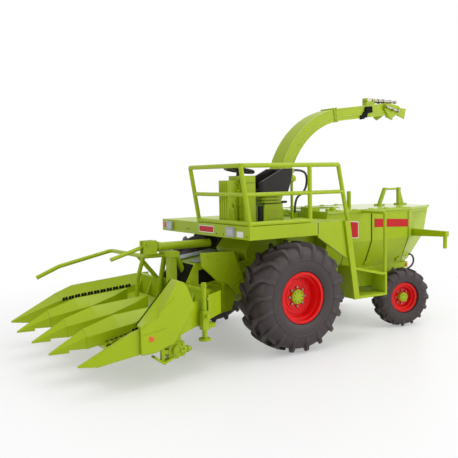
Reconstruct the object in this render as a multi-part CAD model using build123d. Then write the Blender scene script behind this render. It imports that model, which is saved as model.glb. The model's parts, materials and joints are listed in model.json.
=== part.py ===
"""Forage harvester, a 1:32 die-cast scale model with a four-row maize header.

Millimetres, +X forward, +Y to the driver's left, +Z up. Every piece is drawn from the point on
the floor below the front axle. MIDDLE_X then moves the whole model, so that its origin lies on
the floor below the middle of its length.
"""
from build123d import *
import math
import os

MIDDLE_X = 3.1              # from the middle of the length forward to the front axle

# Fits between pieces
RUNNING_FIT = 0.05          # radial play of a turning or sliding piece
SEAT_GAP = 0.02             # between a piece and the seat that it is pressed on
BODY_GAP = 0.3              # between faces that pass each other on two moving bodies

# Wheels and axles
FRONT_TYRE_R = 25.0
FRONT_TYRE_W = 18.5
FRONT_WHEEL_Y = 37.35       # middle of the tread
FRONT_RIM_R = 11.0          # seat of the tyre
FRONT_LUG_H = 2.2
FRONT_LUG_W = 2.7
FRONT_LUGS = 18             # on each side of the tread
FRONT_DISC_Y = 3.2          # outer face of the wheel disc, from the middle of the tread
FRONT_HUB_R = 3.3
FRONT_HUB_L = 1.5
WHEELBASE = 77.5
REAR_TYRE_R = 15.2
REAR_TYRE_W = 9.8
REAR_WHEEL_Y = 31.1
REAR_RIM_R = 7.1
REAR_LUG_H = 1.3
REAR_LUG_W = 1.9
REAR_LUGS = 16
REAR_DISC_Y = 0.9
REAR_HUB_R = 2.4
REAR_HUB_L = 2.6
REST_STEER = -12.7          # degrees that the rear wheels are turned as the model stands
BEAD_SET_IN = 1.9           # from the widest part of a tyre to its bead
LIP_W = 0.7
LIP_H = 0.6
RIM_T = 0.7
DISC_T = 1.2
HUB_CAP_T = 0.8
AXLE_PIN_R = 1.5
FRONT_FLANGE_R = 6.5
AXLE_TUBE_R = 4.0
KINGPIN_Y = 23.0
KINGPIN_R = 1.0
KNUCKLE_EAR_T = 1.4
KNUCKLE_EYE_R = 2.3
REAR_BEAM_H = 4.4
REAR_BEAM_W = 6.0
TIE_ROD_ARM = 7.0           # from the kingpin back to the tie rod's eye
TIE_ROD_R = 0.7
TIE_ROD_EYE_R = 1.5
TIE_ROD_EYE_T = 1.7
TIE_ROD_PIN_R = 0.6
TIE_ROD_FIT = 0.1           # play of an eye on its pin
TIE_ROD_GAP = 0.2           # between a steering arm and the eye below it

# Chassis
RAIL_Y = 12.0               # middle of each main rail
RAIL_W = 3.0
RAIL_H = 5.0
RAIL_TOP = FRONT_TYRE_R + 6.0
OVER_AXLE_Z = FRONT_TYRE_R + AXLE_TUBE_R + 0.1
CHASSIS_FRONT_X = 9.0
CHASSIS_REAR_X = -WHEELBASE - 20.5
SILL_Y = 20.0               # outer face of the sills below the hood
SILL_W = 1.6
SILL_H = 3.1
SILL_FRONT_X = -56.0
SILL_REAR_X = -WHEELBASE - 15.5
HITCH_Z = RAIL_TOP - 9.0
HITCH_GAP = 2.0
HITCH_T = 1.2
HITCH_REACH = 4.0
HITCH_BORE_R = 0.9

# Platform
DECK_FRONT_X = 25.2
DECK_REAR_X = -12.3
DECK_HALF_W = 41.3
DECK_H = 5.9
DECK_TOP = 2 * FRONT_TYRE_R + 1.9 + DECK_H
DECK_WALL = 1.2
CASING_HALF_W = 17.0        # chopper casing
GUARD_W = 1.6               # mudguard plates behind the front wheels
GUARD_FOOT_X = -FRONT_TYRE_R - 8.5
TUBE_R = 1.0                # handrail tube
HANDRAIL_TOP = DECK_TOP + 26.1
HANDRAIL_MID = DECK_TOP + 13.6
HANDRAIL_FAR_Y = -3.4
HANDRAIL_REAR_X = -FRONT_TYRE_R - 6.0
LAMP_W = 6.2
LAMP_H = 4.4
LAMP_T = 1.3

# Hood
HOOD_TOP = DECK_TOP + 2.2
HOOD_KNEE_Z = RAIL_TOP + 14.2
HOOD_HALF_W = 26.0
HOOD_FOOT_HALF_W = 20.0
HOOD_FRONT_X = -FRONT_TYRE_R - 5.5
HOOD_SIDE_END_X = -WHEELBASE - 11.0
HOOD_REAR_X = -WHEELBASE - 35.9
HOOD_REAR_HALF_W = 16.0
HOOD_LID_T = 1.2
LID_OVERHANG = 0.6
LID_TOP = HOOD_TOP + HOOD_LID_T
SEAM_W = 0.3
RIB_X = -61.0
RIB_W = 1.3
RIB_T = 0.45                # that the rib stands out of the hood's side
LOUVRES = 8
LOUVRE_PITCH = 1.15
LOUVRE_H = 0.45
EXHAUST_R = 1.15
EXHAUST_X = -68.6
REST_W = 1.8                # the trestle that the spout lies over
REST_H = 10.0
ARM_X = -WHEELBASE - 15.2   # middle of the side arm
ARM_W = 2.6
ARM_Z = RAIL_TOP + 16.9
PEG_R = 1.0
PEG_L = 6.1

# Ladder
LADDER_FOOT_Z = 20.0
LADDER_REAR_X = -WHEELBASE + REAR_TYRE_R + 7.8
STEP_DEPTH = 8.0
STEP_T = 1.2
STEP_TOP_Z = RAIL_TOP + 0.2

# Driver's place
STATION_Y = 17.0
CONSOLE_X = 10.0
CONSOLE_H = 21.8
SEAT_W = 14.0
SEAT_WALL = 1.2
SEAT_Z = DECK_TOP + 13.6
SEAT_BASE_Z = DECK_TOP + 8.9
BELLOWS = 3
WHEEL_RING_R = 6.6
WHEEL_TUBE_R = 0.75
LEVER_X = -20.0
LEVER_Y = 12.0
HOSE_R = 0.6
REAR_HOSE_R = 0.5

# Spout
SPOUT_Y = -1.0
SPOUT_AXIS_X = -15.5
SPOUT_W = 10.0
SPOUT_D = 6.6
SPOUT_WALL = 0.9
SPOUT_START = (-16.4, DECK_TOP + 10.2)
SPOUT_BEND = (-34.3, DECK_TOP + 50.4)
SPOUT_END = (-93.5, DECK_TOP + 57.4)
SPOUT_BEND_R = 43.6
COLLAR_GROW = 0.5
COLLAR_W = 1.0
MOUTH_L = 9.0               # length of the duct's open end
TURRET_R = 6.8
TURRET_Z = DECK_TOP + 2.7
TURRET_H = 5.0
FLAP_PIN_R = 0.5
FLAP_T = 0.7

# Header
HEADER_PIVOT_X = 13.0
HEADER_PIVOT_Z = RAIL_TOP + 5.0
PIVOT_PIN_R = 1.2
EAR_Y = 13.5                # side of the casing, where the pivot plates are
EAR_T = 1.4
INTAKE_HALF_W = 12.5
ROW_PITCH = 23.4
ROW_HALF_W = 2.4            # half of the slot that a row of stalks passes through
TIP_X = 107.8
OUTER_TIP_X = 104.4
TIP_Z = 12.0
POINT_L = 14.0
OUTER_POINT_L = 23.0
HEADER_Y = 2 * ROW_PITCH    # middle of the outermost points
HEADER_BACK_X = 41.0
CHAIN_LUGS = 6
CHAIN_PITCH = 4.0
SHIELD_T = 1.2
FRAME_HALF_W = HEADER_Y - 13.4
BOOM_Z = DECK_TOP - DECK_H - 4.0    # axis of the lift boom, below the deck
JACK_X = 49.4
JACK_Y = HEADER_Y - 3.6
JACK_LEG_R = 1.0
JACK_SLEEVE_W = 3.0
JACK_SLEEVE_TOP = 25.2
JACK_TRAVEL = 9.5


def block(x0, x1, y0, y1, z0, z1):
    """A block between two corners."""
    return Pos((x0 + x1) / 2, (y0 + y1) / 2, (z0 + z1) / 2) * Box(x1 - x0, y1 - y0, z1 - z0)


def side_plate(points, y0, y1):
    """An outline in X and Z, as thick as from y0 to y1."""
    plane = Plane(origin=(0, y1, 0), x_dir=(1, 0, 0), z_dir=(0, -1, 0))
    return extrude(plane * Polygon(*points, align=None), amount=y1 - y0, dir=(0, -1, 0))


def flat_plate(points, z0, z1):
    """An outline in X and Y, as thick as from z0 to z1."""
    return extrude(Pos(0, 0, z0) * Polygon(*points, align=None), amount=z1 - z0, dir=(0, 0, 1))


def rod(start, end, radius):
    """A round bar between two points."""
    along = Vector(*end) - Vector(*start)
    return extrude(Plane(origin=start, z_dir=along) * Circle(radius), amount=along.length)


def bent_rod(points, bends, radius):
    """A round bar along straight runs that are joined by bends."""
    path = FilletPolyline(*points, radius=bends)
    section = Plane(origin=path @ 0, z_dir=path % 0) * Circle(radius)
    return sweep(section, path=path)


def mirror_y(part):
    return mirror(part, about=Plane.XZ)


def both_sides(part):
    return part + mirror_y(part)


def lofted(stations):
    """A body through flat sections: each station is X and its corners as (y, z)."""
    faces = []
    for x, corners in stations:
        plane = Plane(origin=(x, 0, 0), x_dir=(0, 1, 0), z_dir=(1, 0, 0))
        faces.append(plane * Polygon(*corners, align=None))
    return loft(faces, ruled=True)


def lofted_y(stations):
    """A body through flat sections: each station is Y and its corners as (x, z)."""
    faces = []
    for y, corners in stations:
        plane = Plane(origin=(0, y, 0), x_dir=(1, 0, 0), z_dir=(0, -1, 0))
        faces.append(plane * Polygon(*corners, align=None))
    return loft(faces, ruled=True)


def turned(points):
    """A solid of revolution about the Y axis from (distance along Y, radius) points."""
    outline = Polygon(*[(radius, along) for along, radius in points], align=None)
    return revolve(outline, axis=Axis.Y)


def ring_corners(y, radius, sides, flats):
    """Corners of a many-sided ring. flats: its sides, not its corners, are at the radius."""
    reach = radius / math.cos(math.pi / sides) if flats else radius
    turns = [2 * math.pi * (corner + 0.5) / sides for corner in range(sides)]
    return [(reach * math.sin(turn), y, reach * math.cos(turn)) for turn in turns]


def faceted(sections, sides):
    """A ring of flat facets round the Y axis, from its closed outline of (y, radius, flats)."""
    rings = [ring_corners(y, radius, sides, flats) for y, radius, flats in sections]
    facets = []
    for ring, after in zip(rings, rings[1:] + rings[:1]):
        for corner in range(sides):
            beside = (corner + 1) % sides
            outline = (ring[corner], ring[beside], after[beside], after[corner])
            facets.append(Face(Wire.make_polygon([Vector(*place) for place in outline], close=True)))
    return Solid(Shell(facets))


# Carcass of a tyre from the crown outwards: shares of the half width and of the radius
CARCASS_SHOULDER = [(0.86, 0.02), (1.0, 0.14)]
LUG_LEAN = 32.0             # degrees that each lug leans from across the tread
LUG_REACH = 0.97            # share of the half width where a lug ends
BEAD_PLAY = 0.3             # that a bead stands clear of the rim's lip


def tyre(radius, width, rim_r, lug_h, lug_w, lugs):
    """A tractor tyre with a flat-faceted carcass and leaning lugs, half a pitch apart on its two sides."""
    half = width / 2
    bead = (half - BEAD_SET_IN - BEAD_PLAY, rim_r + SEAT_GAP, True)
    crown = radius - lug_h
    side = [bead]
    for y_share, drop in reversed(CARCASS_SHOULDER):
        side.append((half * y_share, crown - radius * drop, False))
    carcass = faceted(side + [(-y, r, flats) for y, r, flats in reversed(side)], 2 * lugs)
    near, far = 0.3, half * LUG_REACH
    lean = (far - near) * math.tan(math.radians(LUG_LEAN)) / 2
    w = lug_w / 2 / math.cos(math.radians(LUG_LEAN))
    plan = [(far, lean - w), (far, lean + w), (near, w - lean), (near, -w - lean)]
    base = radius * 0.76
    top = math.sqrt(radius ** 2 - (lean + w) ** 2)
    lug = extrude(Plane.YZ.offset(base) * Polygon(*plan, align=None), amount=top - base)
    pair = (lug, Rot(0, 180 / lugs, 0) * mirror_y(lug))
    copies = [Rot(0, turn * 360 / lugs, 0) * one for turn in range(lugs) for one in pair]
    return carcass.fuse(*copies)


def rim(rim_r, width, disc_y):
    """A dished wheel, stepped on its outside. disc_y is the outer face of its disc."""
    half = width / 2 - BEAD_SET_IN + LIP_W
    seat_half = half - LIP_W + SEAT_GAP
    inner = rim_r - RIM_T
    bore = AXLE_PIN_R + RUNNING_FIT
    lip = rim_r + LIP_H
    step_y = half - 0.4 * (half - disc_y)
    back = disc_y - DISC_T
    return turned([
        (-half, inner), (-half, lip), (-seat_half, lip), (-seat_half, rim_r), (seat_half, rim_r),
        (seat_half, lip), (half, lip), (half, inner), (step_y, inner - 0.3), (step_y, inner - 1.1),
        (disc_y, inner - 1.9), (disc_y, bore), (back, bore), (back, inner - 1.6), (back - 0.8, inner - 0.2),
    ])


def hub(hub_r, hub_l, disc_y):
    """The hub's closed cap, on the outer face of the disc."""
    end = disc_y + hub_l
    bore = AXLE_PIN_R + RUNNING_FIT
    return turned([
        (disc_y, bore), (disc_y, hub_r), (end - 0.4, hub_r), (end, hub_r - 0.6), (end, 0),
        (end - HUB_CAP_T, 0), (end - HUB_CAP_T, bore),
    ])


# Each axle's wheel: tyre radius and width, rim radius, lug height, width and number, disc, hub radius and
# length
FRONT_WHEEL = (FRONT_TYRE_R, FRONT_TYRE_W, FRONT_RIM_R, FRONT_LUG_H, FRONT_LUG_W, FRONT_LUGS, FRONT_DISC_Y,
               FRONT_HUB_R, FRONT_HUB_L)
REAR_WHEEL = (REAR_TYRE_R, REAR_TYRE_W, REAR_RIM_R, REAR_LUG_H, REAR_LUG_W, REAR_LUGS, REAR_DISC_Y,
              REAR_HUB_R, REAR_HUB_L)


def wheel(radius, width, rim_r, lug_h, lug_w, lugs, disc_y, hub_r, hub_l):
    return {
        "tyre": tyre(radius, width, rim_r, lug_h, lug_w, lugs),
        "rim": rim(rim_r, width, disc_y),
        "hub": hub(hub_r, hub_l, disc_y),
    }


def kingpin_place(side):
    return Pos(-WHEELBASE, side * KINGPIN_Y, REAR_TYRE_R) * Rot(0, 0, REST_STEER)


def wheels():
    pieces = {}
    for end, group in (("front", wheel(*FRONT_WHEEL)), ("rear", wheel(*REAR_WHEEL))):
        for side, word in ((1, "left"), (-1, "right")):
            place = Pos(0, side * FRONT_WHEEL_Y, FRONT_TYRE_R)
            if end == "rear":
                place = kingpin_place(side) * Pos(0, side * (REAR_WHEEL_Y - KINGPIN_Y), 0)
            for what, piece in group.items():
                if side < 0:
                    piece = mirror_y(piece)
                pieces[f"{end}_{word}_{what}"] = place * piece
    return pieces


def knuckle():
    """The left steering knuckle at its kingpin: two ears, a web, the stub axle and a steering arm."""
    ear_z = REAR_BEAM_H / 2 + RUNNING_FIT
    web_y = KNUCKLE_EYE_R + BODY_GAP
    web_end = web_y + 1.6
    part = Cylinder(KINGPIN_R, 2 * ear_z + 2 * KNUCKLE_EAR_T)
    for z in (ear_z, -ear_z - KNUCKLE_EAR_T):
        ear = Pos(0, 0, z) * extrude(Circle(KNUCKLE_EYE_R), amount=KNUCKLE_EAR_T)
        part += ear + block(-KNUCKLE_EYE_R, KNUCKLE_EYE_R, 0, web_y + 0.1, z, z + KNUCKLE_EAR_T)
    ear_end = ear_z + KNUCKLE_EAR_T
    part += block(-KNUCKLE_EYE_R, KNUCKLE_EYE_R, web_y, web_end, -ear_end, ear_end)
    hub_end = REAR_WHEEL_Y - KINGPIN_Y + REAR_DISC_Y + REAR_HUB_L - HUB_CAP_T - BODY_GAP
    part += rod((0, web_end - 0.1, 0), (0, hub_end, 0), AXLE_PIN_R)
    part += rod((0, web_end - 0.1, 0), (0, REAR_WHEEL_Y - KINGPIN_Y + REAR_DISC_Y - DISC_T - BODY_GAP, 0),
                AXLE_PIN_R + 1.0)
    arm_z = -ear_z - KNUCKLE_EAR_T
    part += block(-TIE_ROD_ARM - 1.2, 0, -1.2, 1.2, arm_z, arm_z + KNUCKLE_EAR_T)
    pin_end = arm_z - TIE_ROD_GAP - TIE_ROD_EYE_T - 0.2
    part += rod((-TIE_ROD_ARM, 0, arm_z + 0.1), (-TIE_ROD_ARM, 0, pin_end), TIE_ROD_PIN_R)
    return part


def tie_rod():
    """The track rod: two eyes below the steering arms, on the arms' pins."""
    turn = math.radians(REST_STEER)
    arm_x = -WHEELBASE - TIE_ROD_ARM * math.cos(turn)
    shift = -TIE_ROD_ARM * math.sin(turn)
    arm_z = REAR_TYRE_R - REAR_BEAM_H / 2 - RUNNING_FIT - KNUCKLE_EAR_T
    z = arm_z - TIE_ROD_GAP - TIE_ROD_EYE_T / 2
    part = rod((arm_x, -KINGPIN_Y + shift, z), (arm_x, KINGPIN_Y + shift, z), TIE_ROD_R)
    for side in (1, -1):
        eye_place = Pos(arm_x, side * KINGPIN_Y + shift, z)
        part += eye_place * Cylinder(TIE_ROD_EYE_R, TIE_ROD_EYE_T)
        part -= eye_place * Cylinder(TIE_ROD_PIN_R + TIE_ROD_FIT, TIE_ROD_EYE_T + 1)
    return part


def steering():
    place = kingpin_place(1)
    return {
        "left_knuckle": place * knuckle(),
        "right_knuckle": kingpin_place(-1) * mirror_y(knuckle()),
        "tie_rod": tie_rod(),
    }


def chassis_frame():
    rail_z0 = RAIL_TOP - RAIL_H
    outline = [(CHASSIS_REAR_X, rail_z0), (-7.0, rail_z0), (-5.0, OVER_AXLE_Z),
               (CHASSIS_FRONT_X, OVER_AXLE_Z), (CHASSIS_FRONT_X, RAIL_TOP), (CHASSIS_REAR_X, RAIL_TOP)]
    frame = both_sides(side_plate(outline, RAIL_Y - RAIL_W / 2, RAIL_Y + RAIL_W / 2))
    sill = block(SILL_REAR_X, SILL_FRONT_X, SILL_Y - SILL_W, SILL_Y, RAIL_TOP - SILL_H, RAIL_TOP)
    frame += both_sides(sill)
    for x in (CHASSIS_REAR_X, CHASSIS_REAR_X + 36.0, HOOD_FRONT_X - 3.5):
        frame += block(x, x + 4.0, -RAIL_Y, RAIL_Y, rail_z0, RAIL_TOP - 0.5)
    for x in (SILL_FRONT_X, SILL_REAR_X):
        frame += block(x, x + 2.5, -SILL_Y + 0.5, SILL_Y - 0.5, RAIL_TOP - SILL_H, RAIL_TOP)
    return frame


def tow_hitch():
    """A jaw below the rear cross member, for a drawbar pin."""
    x = CHASSIS_REAR_X
    top = RAIL_TOP - RAIL_H
    part = block(x, x + 3.0, -3.0, 3.0, HITCH_Z - HITCH_GAP / 2 - HITCH_T, top)
    for z in (HITCH_Z + HITCH_GAP / 2, HITCH_Z - HITCH_GAP / 2 - HITCH_T):
        jaw = block(x - HITCH_REACH, x + 0.1, -3.0, 3.0, z, z + HITCH_T)
        jaw += Pos(x - HITCH_REACH, 0, z + HITCH_T / 2) * Cylinder(3.0, HITCH_T)
        part += jaw
    return part - Pos(x - HITCH_REACH, 0, HITCH_Z) * Cylinder(HITCH_BORE_R, HITCH_GAP + 3 * HITCH_T)


def front_axle():
    flange_y = FRONT_WHEEL_Y - FRONT_TYRE_W / 2 - BODY_GAP - 0.4
    rim_reach = FRONT_WHEEL_Y + FRONT_DISC_Y - DISC_T - BODY_GAP
    pin_end = FRONT_WHEEL_Y + FRONT_DISC_Y + FRONT_HUB_L - HUB_CAP_T - BODY_GAP
    axle = rod((0, 0, FRONT_TYRE_R), (0, flange_y, FRONT_TYRE_R), AXLE_TUBE_R)
    axle += rod((0, flange_y - 2.0, FRONT_TYRE_R), (0, rim_reach, FRONT_TYRE_R), FRONT_FLANGE_R)
    axle += rod((0, rim_reach - 0.1, FRONT_TYRE_R), (0, pin_end, FRONT_TYRE_R), AXLE_PIN_R)
    axle = both_sides(axle)
    axle += block(-7.0, 7.0, -8.5, 8.5, FRONT_TYRE_R - 7.0, FRONT_TYRE_R + 6.0)
    saddle = block(-4.6, 4.6, RAIL_Y - 2.5, RAIL_Y + 2.5, FRONT_TYRE_R - 4.6, OVER_AXLE_Z)
    return axle + both_sides(saddle)


def rear_axle():
    x0 = -WHEELBASE - REAR_BEAM_W / 2
    x1 = -WHEELBASE + REAR_BEAM_W / 2
    half = REAR_BEAM_H / 2
    z = REAR_TYRE_R
    beam = block(x0, x1, -KINGPIN_Y + 4.5, KINGPIN_Y - 4.5, z - half, z + half)
    eye = Pos(-WHEELBASE, KINGPIN_Y, z) * Cylinder(KNUCKLE_EYE_R, REAR_BEAM_H)
    eye += block(-WHEELBASE - KNUCKLE_EYE_R, -WHEELBASE + KNUCKLE_EYE_R, KINGPIN_Y - 5.0, KINGPIN_Y,
                 z - half, z + half)
    eye -= Pos(-WHEELBASE, KINGPIN_Y, z) * Cylinder(KINGPIN_R + RUNNING_FIT, REAR_BEAM_H + 1)
    beam += both_sides(eye)
    tower = side_plate([(x0 + 0.5, z + half - 0.1), (x1 - 0.5, z + half - 0.1),
                        (x1 + 2.0, RAIL_TOP - RAIL_H), (x0 - 2.0, RAIL_TOP - RAIL_H)], -RAIL_Y, RAIL_Y)
    (x, y, gland_z), run = REAR_HOSE[-1], 3.0
    return beam + tower + rod((x + run, y, gland_z), (x, y, gland_z), REAR_HOSE_R + 0.4)


def hood_section(z, half_w, side_end, rear_x, rear_half_w):
    points = [(HOOD_FRONT_X, -half_w), (HOOD_FRONT_X, half_w), (side_end, half_w), (rear_x, rear_half_w),
              (rear_x, -rear_half_w), (side_end, -half_w)]
    return Pos(0, 0, z) * make_face(Polyline(*points, close=True))


# Hood outline at three heights: z, half width, where the side ends, rear end, half width there
HOOD_SECTIONS = [
    (HOOD_TOP, HOOD_HALF_W, HOOD_SIDE_END_X, HOOD_REAR_X, HOOD_REAR_HALF_W),
    (HOOD_KNEE_Z, HOOD_HALF_W, HOOD_SIDE_END_X, HOOD_REAR_X + 2.6, HOOD_REAR_HALF_W - 1.0),
    (RAIL_TOP, HOOD_FOOT_HALF_W, HOOD_SIDE_END_X + 3.0, HOOD_REAR_X + 12.4, HOOD_REAR_HALF_W - 4.0),
]


def hood_shell(grow):
    """The hood's outer form, made larger all round by grow."""
    faces = [hood_section(z, half_w + grow, side_end - grow, rear_x - grow, rear_half_w + grow)
             for z, half_w, side_end, rear_x, rear_half_w in HOOD_SECTIONS]
    return loft(faces[::-1], ruled=True)


def louvres():
    """A row of slots in the left rear corner panel, below the lid."""
    run_x = HOOD_REAR_X - HOOD_SIDE_END_X
    run_y = HOOD_REAR_HALF_W - HOOD_HALF_W
    length = math.hypot(run_x, run_y)
    turn = math.degrees(math.atan2(run_y, run_x))
    place = Pos(HOOD_SIDE_END_X + run_x / 2, HOOD_HALF_W + run_y / 2, 0) * Rot(0, 0, turn)
    slots = []
    for row in range(LOUVRES):
        z = HOOD_TOP - 2.0 - row * LOUVRE_PITCH
        slots.append(place * Pos(0, 0, z) * Box(length - 5.0, 0.8, LOUVRE_H))
    return slots


def hood():
    """The engine hood, with a rib and door seams on each side and louvres in the corners."""
    body = hood_shell(0)
    rib = block(RIB_X - RIB_W / 2, RIB_X + RIB_W / 2, -40, 40, RAIL_TOP + 2.0, HOOD_TOP - 1.0)
    body += hood_shell(RIB_T) & rib
    inner = hood_shell(-SEAM_W)
    for x in (HOOD_FRONT_X - 13.0, HOOD_SIDE_END_X + 1.6):
        seam = block(x - SEAM_W / 2, x + SEAM_W / 2, -40, 40, RAIL_TOP + 1.5, HOOD_TOP - 0.8)
        body -= seam - inner
    for slot in louvres():
        body -= [slot, mirror_y(slot)]
    (x, y, z), run = REAR_HOSE[0], 3.4
    return body + rod((x + run, y, z), (x, y, z), REAR_HOSE_R + 0.4)


def hood_lid():
    grow = LID_OVERHANG
    z, half_w, side_end, rear_x, rear_half_w = HOOD_SECTIONS[0]
    outer = hood_section(z, half_w + grow, side_end - grow, rear_x - grow, rear_half_w + grow)
    return extrude(outer, amount=HOOD_LID_T)


def spout_rest():
    """A trestle of flat bars: a leaning leg in front, an upright one behind with a stay, and a pin."""
    top = LID_TOP + REST_H
    rear = HOOD_REAR_X + 5.4
    front = rear + 16.6
    y0 = SPOUT_Y - REST_W / 2
    y1 = SPOUT_Y + REST_W / 2
    w = REST_W
    leg = [(front, LID_TOP), (front - w, LID_TOP), (front - 6.5, top), (front - 4.8, top)]
    part = side_plate(leg, y0, y1)
    part += block(rear - w / 2, rear + w / 2, y0, y1, LID_TOP, top)
    part += side_plate([(rear - 3.6, LID_TOP), (rear - w / 2, LID_TOP), (rear - w / 2, top - 2.6)], y0, y1)
    part += block(front - 3.2, front + 0.8, y0 - 1.4, y1 + 1.4, LID_TOP, LID_TOP + 0.8)
    part += block(rear - 4.4, rear + 1.6, y0 - 1.4, y1 + 1.4, LID_TOP, LID_TOP + 0.8)
    return part + rod((front - 5.6, SPOUT_Y, top - 0.8), (rear, SPOUT_Y, top - 0.8), 0.55)


def side_bracket():
    """The arm on the hood's left side, deeper at its root, with a peg below its end."""
    x0 = ARM_X - ARM_W / 2
    x1 = ARM_X + ARM_W / 2
    root = HOOD_HALF_W - 3.0
    end = 47.0
    arm = lofted_y([(root, [(x0, ARM_Z - 2.4), (x1, ARM_Z - 2.4), (x1, ARM_Z + 1.5), (x0, ARM_Z + 1.5)]),
                    (end, [(x0, ARM_Z - 1.5), (x1, ARM_Z - 1.5), (x1, ARM_Z + 1.2), (x0, ARM_Z + 1.2)])])
    arm -= hood_shell(0)
    peg_y = end - PEG_R - 0.3
    return arm + rod((ARM_X, peg_y, ARM_Z - 1.2), (ARM_X, peg_y, ARM_Z - 1.5 - PEG_L), PEG_R)


def hood_pieces():
    return {
        "hood": hood(),
        "hood_lid": hood_lid(),
        "exhaust_pipe": rod((EXHAUST_X, 0, LID_TOP), (EXHAUST_X, 0, LID_TOP + 8.8), EXHAUST_R),
        "spout_rest": spout_rest(),
        "side_bracket": side_bracket(),
    }


def platform_deck():
    deck = block(DECK_REAR_X, DECK_FRONT_X, -DECK_HALF_W, DECK_HALF_W, DECK_TOP - DECK_H, DECK_TOP)
    hollow = block(DECK_REAR_X + DECK_WALL, DECK_FRONT_X - DECK_WALL, -DECK_HALF_W + DECK_WALL,
                   DECK_HALF_W - DECK_WALL, DECK_TOP - DECK_H - 1.0, DECK_TOP - DECK_WALL)
    return deck - hollow


def mudguards():
    """Plates behind the front wheels that carry the deck back to the ladder."""
    front = DECK_REAR_X - 0.05
    outline = [(front, DECK_TOP), (front, DECK_TOP - DECK_H - 1.0), (GUARD_FOOT_X, RAIL_TOP + 6.5),
               (GUARD_FOOT_X + 3.5, DECK_TOP)]
    plate = side_plate(outline, DECK_HALF_W - GUARD_W, DECK_HALF_W)
    plate += block(HOOD_FRONT_X + 0.3, front, CASING_HALF_W, DECK_HALF_W - 0.5, DECK_TOP - 1.2, DECK_TOP)
    return both_sides(plate)


def chopper_housing():
    """The chopper and blower casing between the front axle and the deck."""
    under_deck = DECK_TOP - DECK_H
    behind_deck = DECK_REAR_X - 0.05
    shelf = RAIL_TOP + 13.0
    outline = [(8.0, RAIL_TOP), (9.0, shelf), (2.0, under_deck), (behind_deck, under_deck),
               (behind_deck, RAIL_TOP)]
    body = side_plate(outline, -EAR_Y, EAR_Y)
    body += block(HOOD_FRONT_X + 0.1, behind_deck, -CASING_HALF_W, CASING_HALF_W, shelf, DECK_TOP)
    body += block(HOOD_FRONT_X + 0.1, behind_deck, -EAR_Y, EAR_Y, RAIL_TOP, shelf)
    body += Pos(SPOUT_AXIS_X, SPOUT_Y, (DECK_TOP + TURRET_Z) / 2) * Cylinder(TURRET_R, TURRET_Z - DECK_TOP)
    pivot_x, pivot_z = HEADER_PIVOT_X, HEADER_PIVOT_Z
    ear = side_plate([(4.0, pivot_z - 4.0), (4.0, pivot_z + 5.0), (pivot_x + 2.0, pivot_z + 2.6),
                      (pivot_x + 2.0, pivot_z - 2.6)], EAR_Y - 0.1, EAR_Y + EAR_T)
    ear += rod((pivot_x, EAR_Y + EAR_T - 0.1, pivot_z), (pivot_x, EAR_Y + 2 * EAR_T + BODY_GAP, pivot_z),
               PIVOT_PIN_R)
    (x, y, z) = DECK_HOSE[-1]
    return body + both_sides(ear) + rod((x, y, DECK_TOP - 0.1), (x, y, z), HOSE_R + 0.5)


def railing():
    y_near = DECK_HALF_W - TUBE_R
    y_far = HANDRAIL_FAR_Y
    base = DECK_TOP + TUBE_R
    front_lean = 4.4
    rear_lean = 5.6
    top_front = DECK_FRONT_X + front_lean - TUBE_R
    base_front = DECK_FRONT_X - TUBE_R
    share = (HANDRAIL_MID - base) / (HANDRAIL_TOP - base)
    mid_front = base_front + share * front_lean
    rear_top = HANDRAIL_REAR_X + rear_lean
    rear_mid = HANDRAIL_REAR_X + share * rear_lean
    post = DECK_REAR_X + 3.8
    part = bent_rod([(top_front, y_far, HANDRAIL_TOP), (top_front, y_near, HANDRAIL_TOP),
                     (rear_top, y_near, HANDRAIL_TOP)], [1.6], TUBE_R)
    part += rod((mid_front, y_far, HANDRAIL_MID), (mid_front, y_near, HANDRAIL_MID), TUBE_R * 0.9)
    part += rod((mid_front, y_near, HANDRAIL_MID), (rear_mid, y_near, HANDRAIL_MID), TUBE_R * 0.9)
    part += rod((base_front, y_far, base), (base_front, y_near, base), TUBE_R)
    part += rod((base_front, y_near, base), (post - 1.0, y_near, base), TUBE_R)
    part += rod((post, y_near, base - TUBE_R), (post, y_near, HANDRAIL_TOP), TUBE_R)
    below = block(HANDRAIL_REAR_X - 5.0, DECK_FRONT_X + 5.0, y_far - 5.0, y_near + 5.0, DECK_TOP - 4.0,
                  DECK_TOP)
    for foot, top, y in ((base_front, top_front, y_far), (base_front, top_front, y_near),
                         (HANDRAIL_REAR_X, rear_top, y_near)):
        part += rod((foot, y, DECK_TOP), (top, y, HANDRAIL_TOP), TUBE_R) - below
    return part


def ladder():
    """A leaning side plate with two steps behind it. A gap is left below the riser."""
    y0 = DECK_HALF_W + 0.2
    y1 = y0 + 1.0
    back = y0 - STEP_DEPTH
    foot = LADDER_FOOT_Z
    front = HOOD_FRONT_X - 2.7
    rear = LADDER_REAR_X
    lean = 6.0
    part = side_plate([(front + lean - 0.4, DECK_TOP), (front + lean - 3.4, DECK_TOP), (front - 3.4, foot),
                       (front, foot)], y0, y1)
    part += block(rear, front - 0.6, back, y1, foot, foot + STEP_T)
    part += side_plate([(front + 1.6, STEP_TOP_Z + 4.8), (front + 1.8, STEP_TOP_Z + 3.6),
                        (rear + 2.5, STEP_TOP_Z - 1.2), (rear + 2.5, STEP_TOP_Z)], back, y1)
    part += block(rear, rear + STEP_T, back, y1, foot, STEP_TOP_Z + 0.2)
    part += block(rear, rear + 2.6, back, y1, STEP_TOP_Z - 1.0, STEP_TOP_Z + 0.2)
    part += side_plate([(front - 0.6, foot), (front - 1.8, foot), (front + 0.4, STEP_TOP_Z + 4.0),
                        (front + 1.6, STEP_TOP_Z + 4.0)], back - STEP_T, y1)
    riser = [(front - 0.2, foot + 3.8), (front + 1.2, STEP_TOP_Z + 4.0), (rear + 2.5, STEP_TOP_Z),
             (rear, STEP_TOP_Z), (rear, foot + 3.8)]
    part += side_plate(riser, back - STEP_T, back + 0.1)
    return part


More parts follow.
